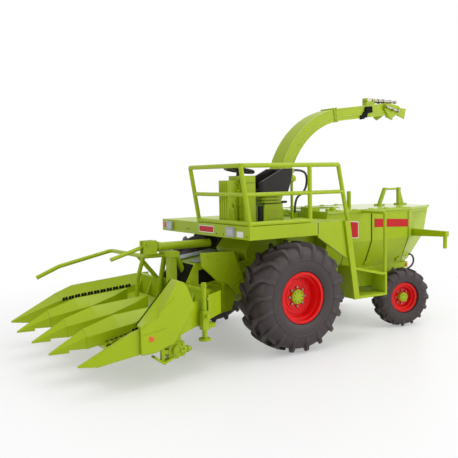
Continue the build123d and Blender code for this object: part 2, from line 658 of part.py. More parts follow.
def ladder_handrail():
    y = DECK_HALF_W + 0.4
    x = LADDER_REAR_X + 0.6
    top = HOOD_TOP + 0.4
    path = [(x, y, STEP_TOP_Z + 0.2), (x, y, top), (x, HOOD_HALF_W + LID_OVERHANG, top)]
    return bent_rod(path, [0.9], 0.8)


def console():
    """The steering console and, in front of it, the lower instrument box."""
    top = DECK_TOP + CONSOLE_H
    tall = block(CONSOLE_X, CONSOLE_X + 6.2, STATION_Y - 6.0, STATION_Y + 7.0, DECK_TOP, top)
    low = block(CONSOLE_X + 6.2, CONSOLE_X + 12.2, STATION_Y - 5.2, STATION_Y + 3.0, DECK_TOP, top - 2.0)
    return tall + low


def steering_wheel():
    top = DECK_TOP + CONSOLE_H
    place = Pos(CONSOLE_X + 4.2, STATION_Y, top + 2.6) * Rot(0, -10, 0)
    ring_section = RegularPolygon(WHEEL_TUBE_R, 8, rotation=22.5)
    ring = revolve(Plane.XZ * Pos(WHEEL_RING_R, 0) * ring_section, axis=Axis.Z)
    part = ring + Pos(0, 0, -0.3) * Cylinder(1.7, 1.2)
    for turn in (0, 120, 240):
        part += Rot(0, 0, turn) * block(0, WHEEL_RING_R, -0.5, 0.5, -0.4, 0.3)
    part += Pos(0, 0, -2.2) * Cylinder(1.1, 3.6)
    return place * part - block(0, 40, 0, 40, DECK_TOP, top)


def seat():
    """A bucket seat, moulded in one piece with rounded corners."""
    z = SEAT_Z
    side = [(7.0, z + 0.2), (7.6, z + 4.4), (5.8, z + 5.6), (-6.0, z + 11.2), (-12.4, z + 11.2), (-8.6, z)]
    hollow = [(10.0, z + 1.8), (10.0, z + 14), (-11.0, z + 14), (-7.4, z + 1.6)]
    plan = Pos(-2.4, STATION_Y, z - 1) * extrude(RectangleRounded(20.2, SEAT_W, 2.2), amount=16)
    inner_plan = Pos(-0.4, STATION_Y, z - 1) * extrude(
        RectangleRounded(21.0, SEAT_W - 2 * SEAT_WALL, 1.4), amount=16)
    y0 = STATION_Y - SEAT_W / 2
    y1 = STATION_Y + SEAT_W / 2
    shell = side_plate(side, y0, y1) & plan
    return shell - (side_plate(hollow, y0, y1) & inner_plan)


def seat_base():
    """The sprung seat's bellows on a box."""
    pitch = (SEAT_Z - SEAT_BASE_Z) / BELLOWS
    part = block(-6.1, 4.5, STATION_Y - 6.0, STATION_Y + 6.0, DECK_TOP, SEAT_BASE_Z - 0.6)
    for fold in range(BELLOWS):
        z = SEAT_BASE_Z + fold * pitch
        part += Pos(-0.6, STATION_Y, z - 0.7) * extrude(RectangleRounded(9.6, 9.6, 2.0), amount=pitch)
        part += Pos(-0.6, STATION_Y, z) * extrude(RectangleRounded(12.2, 12.2, 3.0), amount=pitch * 0.55)
    return part + block(-6.0, 5.0, STATION_Y - 5.5, STATION_Y + 5.5, SEAT_Z - 0.7, SEAT_Z)


# The hose behind the seat, from the valve on the lever post down to the casing, as points
DECK_HOSE = [
    (LEVER_X - 1.0, LEVER_Y, DECK_TOP + 24.1), (LEVER_X - 7.5, LEVER_Y, DECK_TOP + 24.1),
    (LEVER_X - 13.5, 7.5, DECK_TOP + 19.7), (LEVER_X - 14.2, 6.0, DECK_TOP + 13.2),
    (LEVER_X - 7.2, 5.0, DECK_TOP + 9.0), (LEVER_X - 7.2, 5.0, DECK_TOP + 2.4),
]

# The hose from the hood's left rear corner to the rear axle, as points
REAR_HOSE = [
    (-WHEELBASE - 17.0, 18.2, RAIL_TOP + 3.6), (-WHEELBASE - 20.0, 18.2, RAIL_TOP + 3.6),
    (-WHEELBASE - 22.05, 18.2, RAIL_TOP + 1.55), (-WHEELBASE - 22.05, 18.2, RAIL_TOP - 1.35),
    (-WHEELBASE - 20.0, 18.2, RAIL_TOP - 3.4), (-WHEELBASE - 16.0, 15.4, RAIL_TOP - 6.2),
    (-WHEELBASE - 10.5, 11.0, RAIL_TOP - 7.4), (-WHEELBASE - 5.5, 11.0, RAIL_TOP - 7.4),
]


def hose(name, points, radius):
    """A hose along straight runs, each bend as wide as its shorter run allows."""
    places = [Vector(*point) for point in points]
    runs = [after - before for before, after in zip(places, places[1:])]
    bends = []
    for before, after in zip(runs, runs[1:]):
        half_turn = math.radians(before.get_angle(after)) / 2
        bends.append(0.45 * min(before.length, after.length) / math.tan(half_turn))
    print(name, "bend radii", [round(bend, 2) for bend in bends])
    path = FilletPolyline(*points, radius=bends)
    print(name, "length", round(path.length, 1))
    return sweep(Plane(origin=path @ 0, z_dir=path % 0) * Circle(radius), path=path)


def lever_post():
    """The valve lever behind the seat, with the port that the hose is screwed to."""
    knob_z = DECK_TOP + 20.0
    port_z = DECK_HOSE[0][2]
    part = rod((LEVER_X, LEVER_Y, DECK_TOP), (LEVER_X, LEVER_Y, port_z), 0.7)
    part += rod((LEVER_X, LEVER_Y - 1.5, knob_z), (LEVER_X, LEVER_Y + 1.5, knob_z), 1.6)
    part += block(LEVER_X - 0.9, LEVER_X + 0.9, LEVER_Y - 0.9, LEVER_Y + 0.9, port_z - 1.4, port_z + 0.7)
    return part + rod((LEVER_X, LEVER_Y, port_z), DECK_HOSE[0], HOSE_R + 0.3)


def driver_place():
    box_x = HOOD_FRONT_X - 0.5
    return {
        "console": console(),
        "steering_wheel": steering_wheel(),
        "seat": seat(),
        "seat_base": seat_base(),
        "lever_post": lever_post(),
        "control_box": block(box_x - 6.0, box_x, 5.0, 13.0, LID_TOP, LID_TOP + 1.8),
        "deck_hose": hose("deck_hose", DECK_HOSE, HOSE_R),
        "rear_hose": hose("rear_hose", REAR_HOSE, REAR_HOSE_R),
    }


def headlamps():
    x = DECK_FRONT_X + 0.05
    z = DECK_TOP - 0.7
    lamps = Part()
    for y in (-31.8, 26.8):
        lamps += block(x, x + LAMP_T, y - LAMP_W / 2, y + LAMP_W / 2, z - LAMP_H, z)
        lamps -= block(x + LAMP_T - 0.35, x + LAMP_T + 1, y - LAMP_W / 2 + 0.5, y + LAMP_W / 2 - 0.5,
                       z - LAMP_H + 0.5, z - 0.5)
    return lamps


def platform_pieces():
    return {
        "platform_deck": platform_deck(),
        "mudguards": mudguards(),
        "chopper_housing": chopper_housing(),
        "railing": railing(),
        "ladder": ladder(),
        "ladder_handrail": ladder_handrail(),
        "headlamps": headlamps(),
    }


def spout_path(start, end):
    return FilletPolyline((start[0], SPOUT_Y, start[1]), (SPOUT_BEND[0], SPOUT_Y, SPOUT_BEND[1]),
                          (end[0], SPOUT_Y, end[1]), radius=SPOUT_BEND_R)


def along_spout(x):
    """A place on the spout's upper straight run, turned to lie along it."""
    rise = (SPOUT_END[1] - SPOUT_BEND[1]) / (SPOUT_END[0] - SPOUT_BEND[0])
    z = SPOUT_END[1] + (x - SPOUT_END[0]) * rise
    return Pos(x, SPOUT_Y, z) * Rot(0, -math.degrees(math.atan(rise)), 0)


def spout_duct():
    """The chute: a bent box section with a bolted collar, an open mouth and the first flap's studs."""
    path = spout_path(SPOUT_START, SPOUT_END)
    plane = Plane(origin=path @ 0, z_dir=path % 0, x_dir=(0, 1, 0))
    duct = sweep(plane * Rectangle(SPOUT_W, SPOUT_D), path=path)
    for shift in (-COLLAR_W / 2, COLLAR_W / 2 + 0.2):
        collar = Box(COLLAR_W, SPOUT_W + 2 * COLLAR_GROW, SPOUT_D + 2 * COLLAR_GROW)
        duct += along_spout(SPOUT_END[0] + 37.5 + shift) * collar
    duct -= along_spout(SPOUT_END[0]) * Box(2 * MOUTH_L, SPOUT_W - 2 * SPOUT_WALL, SPOUT_D - 2 * SPOUT_WALL)
    return duct + flap_studs(INNER_HINGE, SPOUT_W / 2 - SPOUT_WALL / 2)


def spout_turret():
    z0 = TURRET_Z + BODY_GAP
    start_x, start_z = SPOUT_START
    ring = Pos(SPOUT_AXIS_X, SPOUT_Y, z0 + TURRET_H / 2) * Cylinder(TURRET_R, TURRET_H)
    ring += Pos(SPOUT_AXIS_X, SPOUT_Y, z0 + 0.6) * Cylinder(TURRET_R + 0.9, 1.2)
    neck = side_plate([(SPOUT_AXIS_X + 4.0, z0 + TURRET_H - 0.1), (start_x + 3.1, start_z + 1.2),
                       (start_x - 3.1, start_z - 1.4), (SPOUT_AXIS_X - 4.5, z0 + TURRET_H - 0.1)],
                      SPOUT_Y - SPOUT_W / 2, SPOUT_Y + SPOUT_W / 2)
    return ring + neck


# The chute's two hinged end plates. Their places are measured in X and Z from the end of the duct
CHEEK_IN = SPOUT_W / 2 + 0.2        # inner flap's cheeks pass outside the duct
CHEEK_OUT = CHEEK_IN + FLAP_T
INNER_HINGE = (1.7, 1.2)
OUTER_HINGE = (-8.7, -0.1)
INNER_CHEEK = [(2.8, 0.2), (2.3, 2.3), (-0.8, 3.2), (-8.6, 2.0), (-10.1, 0.6), (-9.8, -1.2), (-6.2, -3.4),
               (-2.6, -5.3), (-0.9, -4.3)]
INNER_ROOF = [(-0.8, 2.5), (-0.8, 3.2), (-8.6, 2.0), (-8.6, 1.3)]
OUTER_CHEEK = [(-8.0, -0.8), (-8.4, 0.7), (-9.9, 1.05), (-15.3, 0.7), (-13.9, -4.9), (-8.9, -3.4)]
OUTER_ROOF = [(-9.9, 0.35), (-9.9, 1.05), (-15.3, 0.7), (-15.15, 0.0)]


def from_mouth(points):
    return [(SPOUT_END[0] + x, SPOUT_END[1] + z) for x, z in points]


def flap_studs(hinge, start):
    """A headed stud on each side, which the next piece's cheek turns on."""
    x, z = from_mouth([hinge])[0]
    studs = Part()
    for side in (1, -1):
        studs += rod((x, SPOUT_Y + side * start, z), (x, SPOUT_Y + side * (CHEEK_OUT + 0.15), z), FLAP_PIN_R)
        studs += rod((x, SPOUT_Y + side * (CHEEK_OUT + 0.15), z), (x, SPOUT_Y + side * (CHEEK_OUT + 0.6), z),
                     FLAP_PIN_R + 0.4)
    return studs


def flap(cheek, roof, outer):
    """A bent plate with a cheek on each side. outer is the outside of its cheeks."""
    part = side_plate(from_mouth(roof), SPOUT_Y - outer, SPOUT_Y + outer)
    for y in (SPOUT_Y - outer, SPOUT_Y + outer - FLAP_T):
        part += side_plate(from_mouth(cheek), y, y + FLAP_T)
    return part


def spout_cylinder():
    """The flap cylinder on the end of the chute, in its green bracket."""
    y = SPOUT_Y + 2.0
    z = SPOUT_END[1] + 4.45
    x = SPOUT_END[0]
    part = rod((x + 8.0, y, z), (x - 6.0, y, z), 1.0) + rod((x - 5.9, y, z), (x - 9.4, y, z), 0.6)
    part += rod((x + 8.0, y, z), (x + 6.9, y, z), 1.15) + rod((x - 4.9, y, z), (x - 6.0, y, z), 1.15)
    part += block(x - 10.2, x - 9.0, y - 0.9, y + 0.9, z - 0.8, z + 0.8)
    return part + block(x + 7.9, x + 14.0, y - 1.4, y + 1.4, SPOUT_END[1] + 1.55, z + 1.2)


def spout_pieces():
    duct = spout_duct()
    bore_r = FLAP_PIN_R + RUNNING_FIT
    inner = flap(INNER_CHEEK, INNER_ROOF, CHEEK_OUT)
    for hinge in (INNER_HINGE, OUTER_HINGE):
        x, z = from_mouth([hinge])[0]
        inner -= rod((x, SPOUT_Y - 9, z), (x, SPOUT_Y + 9, z), bore_r)
    outer_half = CHEEK_IN - BODY_GAP
    outer = flap(OUTER_CHEEK, OUTER_ROOF, outer_half) + flap_studs(OUTER_HINGE, outer_half - FLAP_T / 2)
    return {
        "spout_turret": spout_turret(),
        "spout_duct": duct,
        "inner_flap": inner,
        "outer_flap": outer,
        "spout_cylinder": spout_cylinder() - duct,
    }


def deck_top(x):
    """Height of the sloping deck below the rows."""
    return TIP_Z + 2.0 + (TIP_X - 19.8 - x) * 0.203


def roofed(y, half_w, bottom, eave, ridge):
    return [(y - half_w, bottom), (y + half_w, bottom), (y + half_w, eave), (y, ridge), (y - half_w, eave)]


# Stations of an inner point: X from its tip, half width, then bottom, eave and ridge above TIP_Z
POINT_STATIONS = [(0, 0.3, -0.3, 0.1, 0.4), (7.4, 2.3, -0.1, 3.0, 4.6), (POINT_L, 4.1, 0.8, 5.6, 8.2)]

# Stations of an inner snout: X behind its front, half width, then eave and ridge above TIP_Z
SNOUT_STATIONS = [(0, 4.1, 5.5, 8.3), (12.8, 5.8, 7.9, 12.2), (18.6, 6.4, 8.9, 12.6),
                  (31.0, 3.4, 11.7, 13.6), (39.4, 0.3, 14.0, 14.3)]


def point(y):
    """A pressed point, with a roof and a notch below for the snout's bracket."""
    part = lofted([(TIP_X - back, roofed(y, half_w, TIP_Z + bottom, TIP_Z + eave, TIP_Z + ridge))
                   for back, half_w, bottom, eave, ridge in POINT_STATIONS])
    return part - block(TIP_X - POINT_L - 1, TIP_X - 7.4, y - 6, y + 6, 0, TIP_Z + 1.0)


def inner_snout(y):
    """A sheet-metal divider between two rows, with a ridged roof, that lies on the deck."""
    front = TIP_X - POINT_L - 0.05
    return lofted([(front - back, roofed(y, half_w, deck_top(front - back), TIP_Z + eave, TIP_Z + ridge))
                   for back, half_w, eave, ridge in SNOUT_STATIONS])


def walled(outer_y, top, inner_y, eave, bottom):
    return [(inner_y, bottom), (outer_y, bottom), (outer_y, top), (inner_y, eave)]


def outer_point():
    """The left outermost point: an upright outer wall and a roof that falls to the inside."""
    y = HEADER_Y
    rear = OUTER_TIP_X - OUTER_POINT_L
    return lofted([
        (OUTER_TIP_X, walled(y + 0.3, TIP_Z + 0.4, y - 0.3, TIP_Z + 0.2, TIP_Z - 0.3)),
        (OUTER_TIP_X - 7.2, walled(y + 1.3, TIP_Z + 3.8, y - 1.7, TIP_Z + 2.9, TIP_Z - 1.1)),
        (rear, walled(y + 3.2, TIP_Z + 11.2, y - 4.8, TIP_Z + 8.6, TIP_Z + 1.5)),
    ])


def outer_divider():
    """The tall left wall of the header, converging to the intake behind."""
    front = OUTER_TIP_X - OUTER_POINT_L - 0.05
    y = HEADER_Y
    return lofted([
        (front, walled(y + 3.2, TIP_Z + 11.2, y - 4.8, TIP_Z + 8.6, TIP_Z + 1.5)),
        (front - 8.05, walled(y + 2.7, TIP_Z + 14.3, y - 5.8, TIP_Z + 9.9, TIP_Z + 3.0)),
        (HEADER_BACK_X + 2.0, walled(y - 8.3, TIP_Z + 18.8, FRAME_HALF_W, TIP_Z + 13.9, TIP_Z + 8.5)),
        (HEADER_BACK_X - 4.0, walled(y - 10.8, TIP_Z + 19.4, FRAME_HALF_W, TIP_Z + 14.6, TIP_Z + 9.6)),
    ])


def left_shield():
    """The drive cover on the left: an upright sheet whose top is folded over the divider."""
    front = OUTER_TIP_X - OUTER_POINT_L - 0.1
    face = HEADER_Y + 3.3
    outline = [(0, 24.6), (-6.6, 26.1), (-15.6, 39.7), (-18.4, 39.2), (-19.8, 37.6), (-23.1, 29.5),
               (-20.3, 25.7), (-14.1, 16.1), (-5.8, 13.5), (0, 13.4)]
    inner = [(-0.8, 23.5), (-11.1, 34.4), (-16.3, 40.1), (-18.4, 39.4), (-19.8, 37.8), (-21.5, 30.5),
             (-18.0, 27.0), (-12.0, 26.0), (-5.8, 24.5), (-1.0, 23.2)]
    outline = [(front + x, z) for x, z in outline]
    inner = [(front + x, z) for x, z in inner]
    sheet = side_plate(outline, face, face + SHIELD_T)
    fold = lofted_y([(face + SHIELD_T, outline), (face - 5.0, inner)])
    fold -= side_plate([(front + 1, 0), (front + 1, TIP_Z + 11.2), (front - 8.05, TIP_Z + 14.4),
                        (HEADER_BACK_X, TIP_Z + 19.1), (HEADER_BACK_X, 0)], 0, face)
    return sheet + fold


def row_decks():
    """One sloping deck with a slot for each row of stalks, and a toothed chain on each side of it."""
    x0 = HEADER_BACK_X + 4.6
    x1 = TIP_X - 19.8
    deck = side_plate([(x1, deck_top(x1)), (x0, deck_top(x0)), (x0, deck_top(x0) - 1.4),
                       (x1, deck_top(x1) - 1.4)], -HEADER_Y, HEADER_Y)
    divider_x = OUTER_TIP_X - OUTER_POINT_L
    edge = HEADER_Y - 5.0
    bend_x = divider_x - 11.4
    plan = [(x1 + 1, edge), (divider_x, edge), (divider_x, edge + 1.2), (bend_x, edge),
            (x0 - 1, FRAME_HALF_W + 1), (x0 - 1, -FRAME_HALF_W - 1), (bend_x, -edge),
            (divider_x, -edge - 1.2), (divider_x, -edge), (x1 + 1, -edge)]
    slot_x = HEADER_BACK_X + 17.0
    chain_x = x1 - 0.6
    chain = []
    for row in range(4):
        y = (row - 1.5) * ROW_PITCH
        deck -= block(slot_x, x1 + 1, y - ROW_HALF_W, y + ROW_HALF_W, 0, 60)
        for side in (1, -1):
            edge_y = y + side * (ROW_HALF_W + 1.2)
            near, far = sorted((edge_y, edge_y + side))
            foot = chain_x - (CHAIN_LUGS - 1) * CHAIN_PITCH - 3.0
            chain.append(side_plate([(chain_x, deck_top(chain_x) - 0.2), (chain_x, deck_top(chain_x) + 1.3),
                                     (foot, deck_top(foot) + 1.3), (foot, deck_top(foot) - 0.2)], near, far))
            for lug in range(CHAIN_LUGS):
                x = chain_x - 1.0 - lug * CHAIN_PITCH
                root_y = edge_y + side * 0.1
                tooth = [(x, root_y), (x - 1.6, root_y), (x - 1.2, edge_y - side * 1.2)]
                chain.append(flat_plate(tooth, deck_top(x) + 0.45, deck_top(x) + 1.2))
    deck = deck.fuse(*chain) & flat_plate(plan, 0, 60)
    return deck - outer_divider() - mirror_y(outer_divider())


def header_frame():
    """The cross beam, and the back wall with its rolled top and stiffening ribs."""
    x = HEADER_BACK_X
    w = FRAME_HALF_W
    frame = block(x, x + 4.5, -w, w, 16.5, 21.0)
    wall = block(x, x + 1.2, -w, w, 20.9, 31.0) + block(x, x + 2.0, -w, w, 30.2, 31.4)
    for y in (-w, -w + 11.0, w - 12.2, w - 1.2):
        wall += side_plate([(x + 1.0, 20.9), (x + 4.5, 20.9), (x + 1.0, 29.0)], y, y + 1.2)
    return frame + wall - block(x - 1.0, x + 2.1, -10.0, 10.0, 21.0, 32.0)


def header_tower():
    """The A-frame that the guide bars hang from, stayed back to the intake housing."""
    x = HEADER_BACK_X
    part = block(x + 1.3, x + 4.4, 1.6, 6.4, 21.0, BOOM_Z - 2.9)
    part += rod((x + 2.9, -11.6, 20.0), (x + 2.9, -2.0, BOOM_Z - 2.9), 1.2)
    part += block(x + 0.2, x + 5.2, -3.6, 7.4, BOOM_Z - 4.7, BOOM_Z - 2.1)
    part += rod((x + 0.6, 4.0, BOOM_Z - 3.5), (x - 7.5, 4.0, 26.0), 1.3)
    return part - header_frame() - intake_body()


def guide_boom():
    """The lift boom: a round tube with a clevis at its front end."""
    x, z = HEADER_BACK_X, BOOM_Z
    part = rod((x - 20.0, 0, z), (x + 9.1, 0, z), 1.9) + rod((x + 6.6, 0, z), (x + 8.0, 0, z), 2.3)
    part += boom_fork()
    part += rod((x + 13.6, -3.0, z + 1.7), (x + 13.6, 3.0, z + 1.7), 0.8)
    return part


def boom_fork():
    x, z = HEADER_BACK_X + 9.0, BOOM_Z
    fork = block(x, x + 6.5, -2.4, 2.4, z - 3.1, z + 3.1)
    return fork - block(x + 1.5, x + 8.0, -1.3, 1.3, z - 4.0, z + 4.0)


def guide_bars():
    """The stalk guides: a long bent bar to the right side, a short one, and the stays below them."""
    x, z = HEADER_BACK_X, BOOM_Z
    far = bent_rod([(x + 4.4, 0.5, z - 4.0), (x + 11.6, -5.0, z - 4.7), (x + 11.6, -HEADER_Y, z - 5.4),
                    (x + 39.9, -HEADER_Y + 2.3, z - 10.9), (x + 51.2, -HEADER_Y + 2.8, z - 15.4)],
                   [3.0, 2.5, 6.0], TUBE_R)
    near = bent_rod([(x + 14.8, 0, z + 0.5), (x + 19.8, 0, z - 1.1), (x + 31.0, 1.0, z - 4.1)], [5.0], 0.9)
    near -= boom_fork()
    foot = x + 13.4
    strut = bent_rod([(x + 11.6, -7.0, z - 4.7), (foot - 0.2, -11.0, z - 15.9),
                      (foot, -12.2, deck_top(foot) - 0.6)], [6.0], TUBE_R)
    brace = side_plate([(x + 12.4, z - 4.9), (x + 10.6, z - 4.9), (x + 0.4, 31.0), (x + 2.4, 31.0)],
                       -15.4, -12.6)
    return far + strut + brace + near - header_tower() - header_frame() - row_deck_body()


def row_deck_body():
    """The deck's slope alone, for what stands on it."""
    x0, x1 = HEADER_BACK_X + 4.6, TIP_X - 19.8
    return side_plate([(x1, deck_top(x1)), (x0, deck_top(x0)), (x0, 0), (x1, 0)], -HEADER_Y, HEADER_Y)


def intake_body():
    x, z = HEADER_PIVOT_X, HEADER_PIVOT_Z
    back = HEADER_BACK_X - 0.1
    outline = [(x - 1.0, z + 7.0), (36.0, z + 4.0), (back, 31.0), (back, 17.2), (27.0, 15.0), (17.0, 16.5),
               (x, 27.0)]
    return side_plate(outline, -INTAKE_HALF_W, INTAKE_HALF_W)


def intake_housing():
    """The feed housing, on the pivot pins of the chopper casing."""
    x, z = HEADER_PIVOT_X, HEADER_PIVOT_Z
    ear_y = EAR_Y + EAR_T + BODY_GAP
    ear = side_plate([(x - 2.4, z), (x, z + 2.4), (24.0, z + 4.0), (24.0, z - 7.0), (x, z - 2.4)], ear_y,
                     ear_y + EAR_T)
    ear -= rod((x, 0, z), (x, 30.0, z), PIVOT_PIN_R + RUNNING_FIT)
    ear += block(18.0, 24.0, INTAKE_HALF_W - 0.1, ear_y + 0.1, z - 6.0, z + 3.0)
    for rib_x in (20.5, 33.5):
        rib = block(rib_x, rib_x + 1.2, INTAKE_HALF_W - 0.1, INTAKE_HALF_W + 0.7, 17.5, z - 6.5)
        ear += rib
    drum = rod((31.0, INTAKE_HALF_W - 0.1, 24.0), (31.0, INTAKE_HALF_W + 2.4, 24.0), 4.6)
    drum += rod((31.0, INTAKE_HALF_W + 2.3, 24.0), (31.0, INTAKE_HALF_W + 3.6, 24.0), 1.8)
    return intake_body() + both_sides(ear + drum)


def intake_guard():
    """The side guard: a plate with a separate flap below, rounded at its foot."""
    z = RAIL_TOP
    outline = [(35.8, z + 14.4), (18.6, z + 14.0), (12.6, z), (12.3, z - 2.7), (16.8, z - 5.4),
               (20.9, z - 1.5), (27.7, z + 1.2), (35.3, z + 8.0)]
    y0 = EAR_Y + 2 * EAR_T + BODY_GAP
    guard = side_plate(outline, y0, y0 + 1.2)
    guard += rod((14.9, y0, z - 4.0), (14.9, y0 + 1.2, z - 4.0), 2.6)
    seam = side_plate([(11.0, z + 2.0), (19.5, z - 2.7), (19.6, z - 2.4), (11.1, z + 2.4)], y0 + 0.8,
                      y0 + 2.0)
    return guard - seam


def jack_sleeve():
    half = JACK_SLEEVE_W / 2
    sleeve = block(JACK_X - half, JACK_X + half, JACK_Y - half, JACK_Y + half, 17.4, JACK_SLEEVE_TOP)
    sleeve += block(HEADER_BACK_X + 2.2, JACK_X - 0.6, FRAME_HALF_W, JACK_Y - half + 0.1, 17.4, 19.0)
    return sleeve - rod((JACK_X, JACK_Y, 10.0), (JACK_X, JACK_Y, 30.0), JACK_LEG_R + RUNNING_FIT)


def jack_leg():
    """The parking jack's leg: foot plate below, a pull eye on top."""
    pin_r = 0.45
    pin_z = JACK_SLEEVE_TOP + JACK_TRAVEL + BODY_GAP + pin_r
    leg = rod((JACK_X, JACK_Y, 13.2), (JACK_X, JACK_Y, pin_z + 1.2), JACK_LEG_R)
    leg += rod((JACK_X, JACK_Y - 1.8, pin_z), (JACK_X, JACK_Y + 1.8, pin_z), pin_r)
    return leg + Pos(JACK_X, JACK_Y, 13.4) * Cylinder(2.5, 0.9)


def cross_gearbox():
    """The lower bevel gearbox with its shaft stub, and the skid beside it, under the left divider."""
    y = HEADER_Y - 2.3
    box = block(60.8, 67.6, y - 2.4, y + 2.4, 9.2, 15.0) + rod((64.2, y, 9.3), (64.2, y, 8.4), 1.9)
    box += rod((60.9, y, 11.2), (59.8, y, 11.2), 2.0) + rod((60.5, y, 11.2), (57.2, y, 11.2), 1.1)
    box += rod((64.2, y + 2.3, 12.2), (64.2, y + 3.1, 12.2), 2.2)
    box += block(61.8, 66.6, y - 1.5, y + 1.5, 14.9, 19.5)
    skid = side_plate([(74.4, 10.4), (73.6, 11.0), (70.1, 8.2), (66.0, 9.7), (65.7, 8.9), (70.1, 7.1)],
                      y, y + 3.0)
    skid += block(69.4, 70.8, y + 0.8, y + 2.2, 7.9, 17.5)
    skid += block(67.5, 69.6, y + 0.8, y + 2.2, 11.0, 12.6)
    return box + skid - outer_divider() - left_shield()


def header_pieces():
    left = outer_divider()
    pieces = {
        "row_decks": row_decks(),
        "header_frame": header_frame(),
        "header_tower": header_tower(),
        "guide_boom": guide_boom(),
        "guide_bars": guide_bars(),
        "intake_housing": intake_housing(),
        "intake_guard": intake_guard(),
        "left_shield": left_shield(),
        "left_divider": left,
        "right_divider": mirror_y(left),
        "jack_sleeve": jack_sleeve(),
        "jack_leg": jack_leg(),
        "cross_gearbox": cross_gearbox(),
    }
    inner_places = (-ROW_PITCH, 0, ROW_PITCH)
    pieces["inner_points"] = Compound([point(y) for y in inner_places])
    pieces["inner_snouts"] = Compound([inner_snout(y) for y in inner_places])
    pieces["outer_points"] = Compound([outer_point(), mirror_y(outer_point())])
    return pieces


def main():
    os.makedirs("parts", exist_ok=True)
    pieces = {}
    for group in (wheels(), steering(), hood_pieces(), platform_pieces(), driver_place(), spout_pieces(),
                  header_pieces()):
        pieces.update(group)
    pieces["chassis_frame"] = chassis_frame()
    pieces["tow_hitch"] = tow_hitch()
    pieces["front_axle"] = front_axle()
    pieces["rear_axle"] = rear_axle()
    for name, piece in pieces.items():
        export_step(Pos(MIDDLE_X, 0, 0) * piece, f"parts/{name}.step")


main()
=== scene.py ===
"""A 1:32 die-cast forage harvester, dressed with enamel, moulded tyres and its fine parts."""
import bmesh
import bpy
import json
import math
from mathutils import Matrix, Vector


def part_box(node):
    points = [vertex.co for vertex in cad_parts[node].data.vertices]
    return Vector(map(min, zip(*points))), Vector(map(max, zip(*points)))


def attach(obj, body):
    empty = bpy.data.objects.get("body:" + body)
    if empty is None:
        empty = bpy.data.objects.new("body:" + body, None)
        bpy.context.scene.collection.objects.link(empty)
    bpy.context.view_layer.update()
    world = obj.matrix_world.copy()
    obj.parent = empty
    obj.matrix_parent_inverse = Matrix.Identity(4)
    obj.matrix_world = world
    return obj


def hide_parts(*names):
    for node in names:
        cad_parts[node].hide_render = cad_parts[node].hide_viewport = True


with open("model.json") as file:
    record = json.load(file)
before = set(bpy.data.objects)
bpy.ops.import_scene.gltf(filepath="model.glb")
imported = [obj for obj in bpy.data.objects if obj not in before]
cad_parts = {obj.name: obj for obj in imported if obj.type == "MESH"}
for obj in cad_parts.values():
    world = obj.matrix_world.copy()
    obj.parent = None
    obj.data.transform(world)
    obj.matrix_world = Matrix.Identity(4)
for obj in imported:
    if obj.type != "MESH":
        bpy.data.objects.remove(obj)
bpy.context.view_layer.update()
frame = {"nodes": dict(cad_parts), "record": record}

# Studio
# The model stands on a white studio floor that runs on into a white backdrop. Large soft boxes
# light it from above, from its left side and from its front, as in a product shot of a model.
MM = 0.001
FILL = 0.47                  # strength of the room's own light on the model
WHITE = 1.0                  # strength at which the floor and the backdrop show as plain white
FLOOR_HALF = 3.0
FADE_FROM = 0.08             # distances in metres between which the floor turns into the backdrop
FADE_TO = 0.25
LIFT = 0.36                  # share of its own white that the floor shows right below the model
# Soft boxes: place, aim and side length in metres, and watts
SOFT_BOXES = {"top_light": ((-0.30, 0.06, 0.78), (-0.03, 0, 0.03), 0.7, 3.0),
              "key_light": ((-0.50, 0.68, 0.36), (-0.03, 0, 0.04), 0.65, 3.0),
              "front_light": ((0.85, 0.25, 0.40), (0, 0, 0.04), 0.6, 1.5)}
scene = bpy.context.scene
scene.view_settings.view_transform = "Standard"


def linear(hex_colour):
    """An sRGB hex colour as linear red, green, blue and alpha."""
    channels = [int(hex_colour[i:i + 2], 16) / 255 for i in (1, 3, 5)]
    return tuple(c / 12.92 if c <= 0.04045 else ((c + 0.055) / 1.055) ** 2.4 for c in channels) + (1.0,)


def add(tree, kind, values=None, **settings):
    """Adds a node. A value that is a socket is linked to the named input, any other is set there."""
    node = tree.nodes.new(kind)
    for name, value in settings.items():
        setattr(node, name, value)
    for name, value in (values or {}).items():
        socket = node.inputs[name]
        if isinstance(value, bpy.types.NodeSocket):
            tree.links.new(value, socket)
        else:
            socket.default_value = value
    return node


def new_material(name):
    """A material with an empty node tree."""
    material = bpy.data.materials.new(name)
    material.use_nodes = True
    material.node_tree.nodes.clear()
    return material


def seen_white(tree):
    """1 on the rays that see the backdrop itself: camera, glossy and transmitted rays."""
    path = add(tree, "ShaderNodeLightPath").outputs
    either = add(tree, "ShaderNodeMath", {0: path["Is Camera Ray"], 1: path["Is Glossy Ray"]},
                 operation="MAXIMUM")
    both = add(tree, "ShaderNodeMath", {0: either.outputs[0], 1: path["Is Transmission Ray"]},
               operation="MAXIMUM")
    return both.outputs[0]


world = bpy.data.worlds.new("studio")
scene.world = world
world.use_nodes = True
tree = world.node_tree
tree.nodes.clear()
lit = add(tree, "ShaderNodeBackground", {"Color": (1, 1, 1, 1), "Strength": FILL})
shown = add(tree, "ShaderNodeBackground", {"Color": (1, 1, 1, 1), "Strength": WHITE})
mixed = add(tree, "ShaderNodeMixShader", {0: seen_white(tree), 1: lit.outputs[0], 2: shown.outputs[0]})
add(tree, "ShaderNodeOutputWorld", {"Surface": mixed.outputs[0]})

for name, (place, target, side_length, watts) in SOFT_BOXES.items():
    lamp = bpy.data.lights.new(name, "AREA")
    lamp.shape = "SQUARE"
    lamp.size = side_length
    lamp.energy = watts
    box = bpy.data.objects.new(name, lamp)
    aim = (Vector(target) - Vector(place)).to_track_quat("-Z", "Y")
    box.matrix_world = Matrix.Translation(place) @ aim.to_matrix().to_4x4()
    scene.collection.objects.link(box)

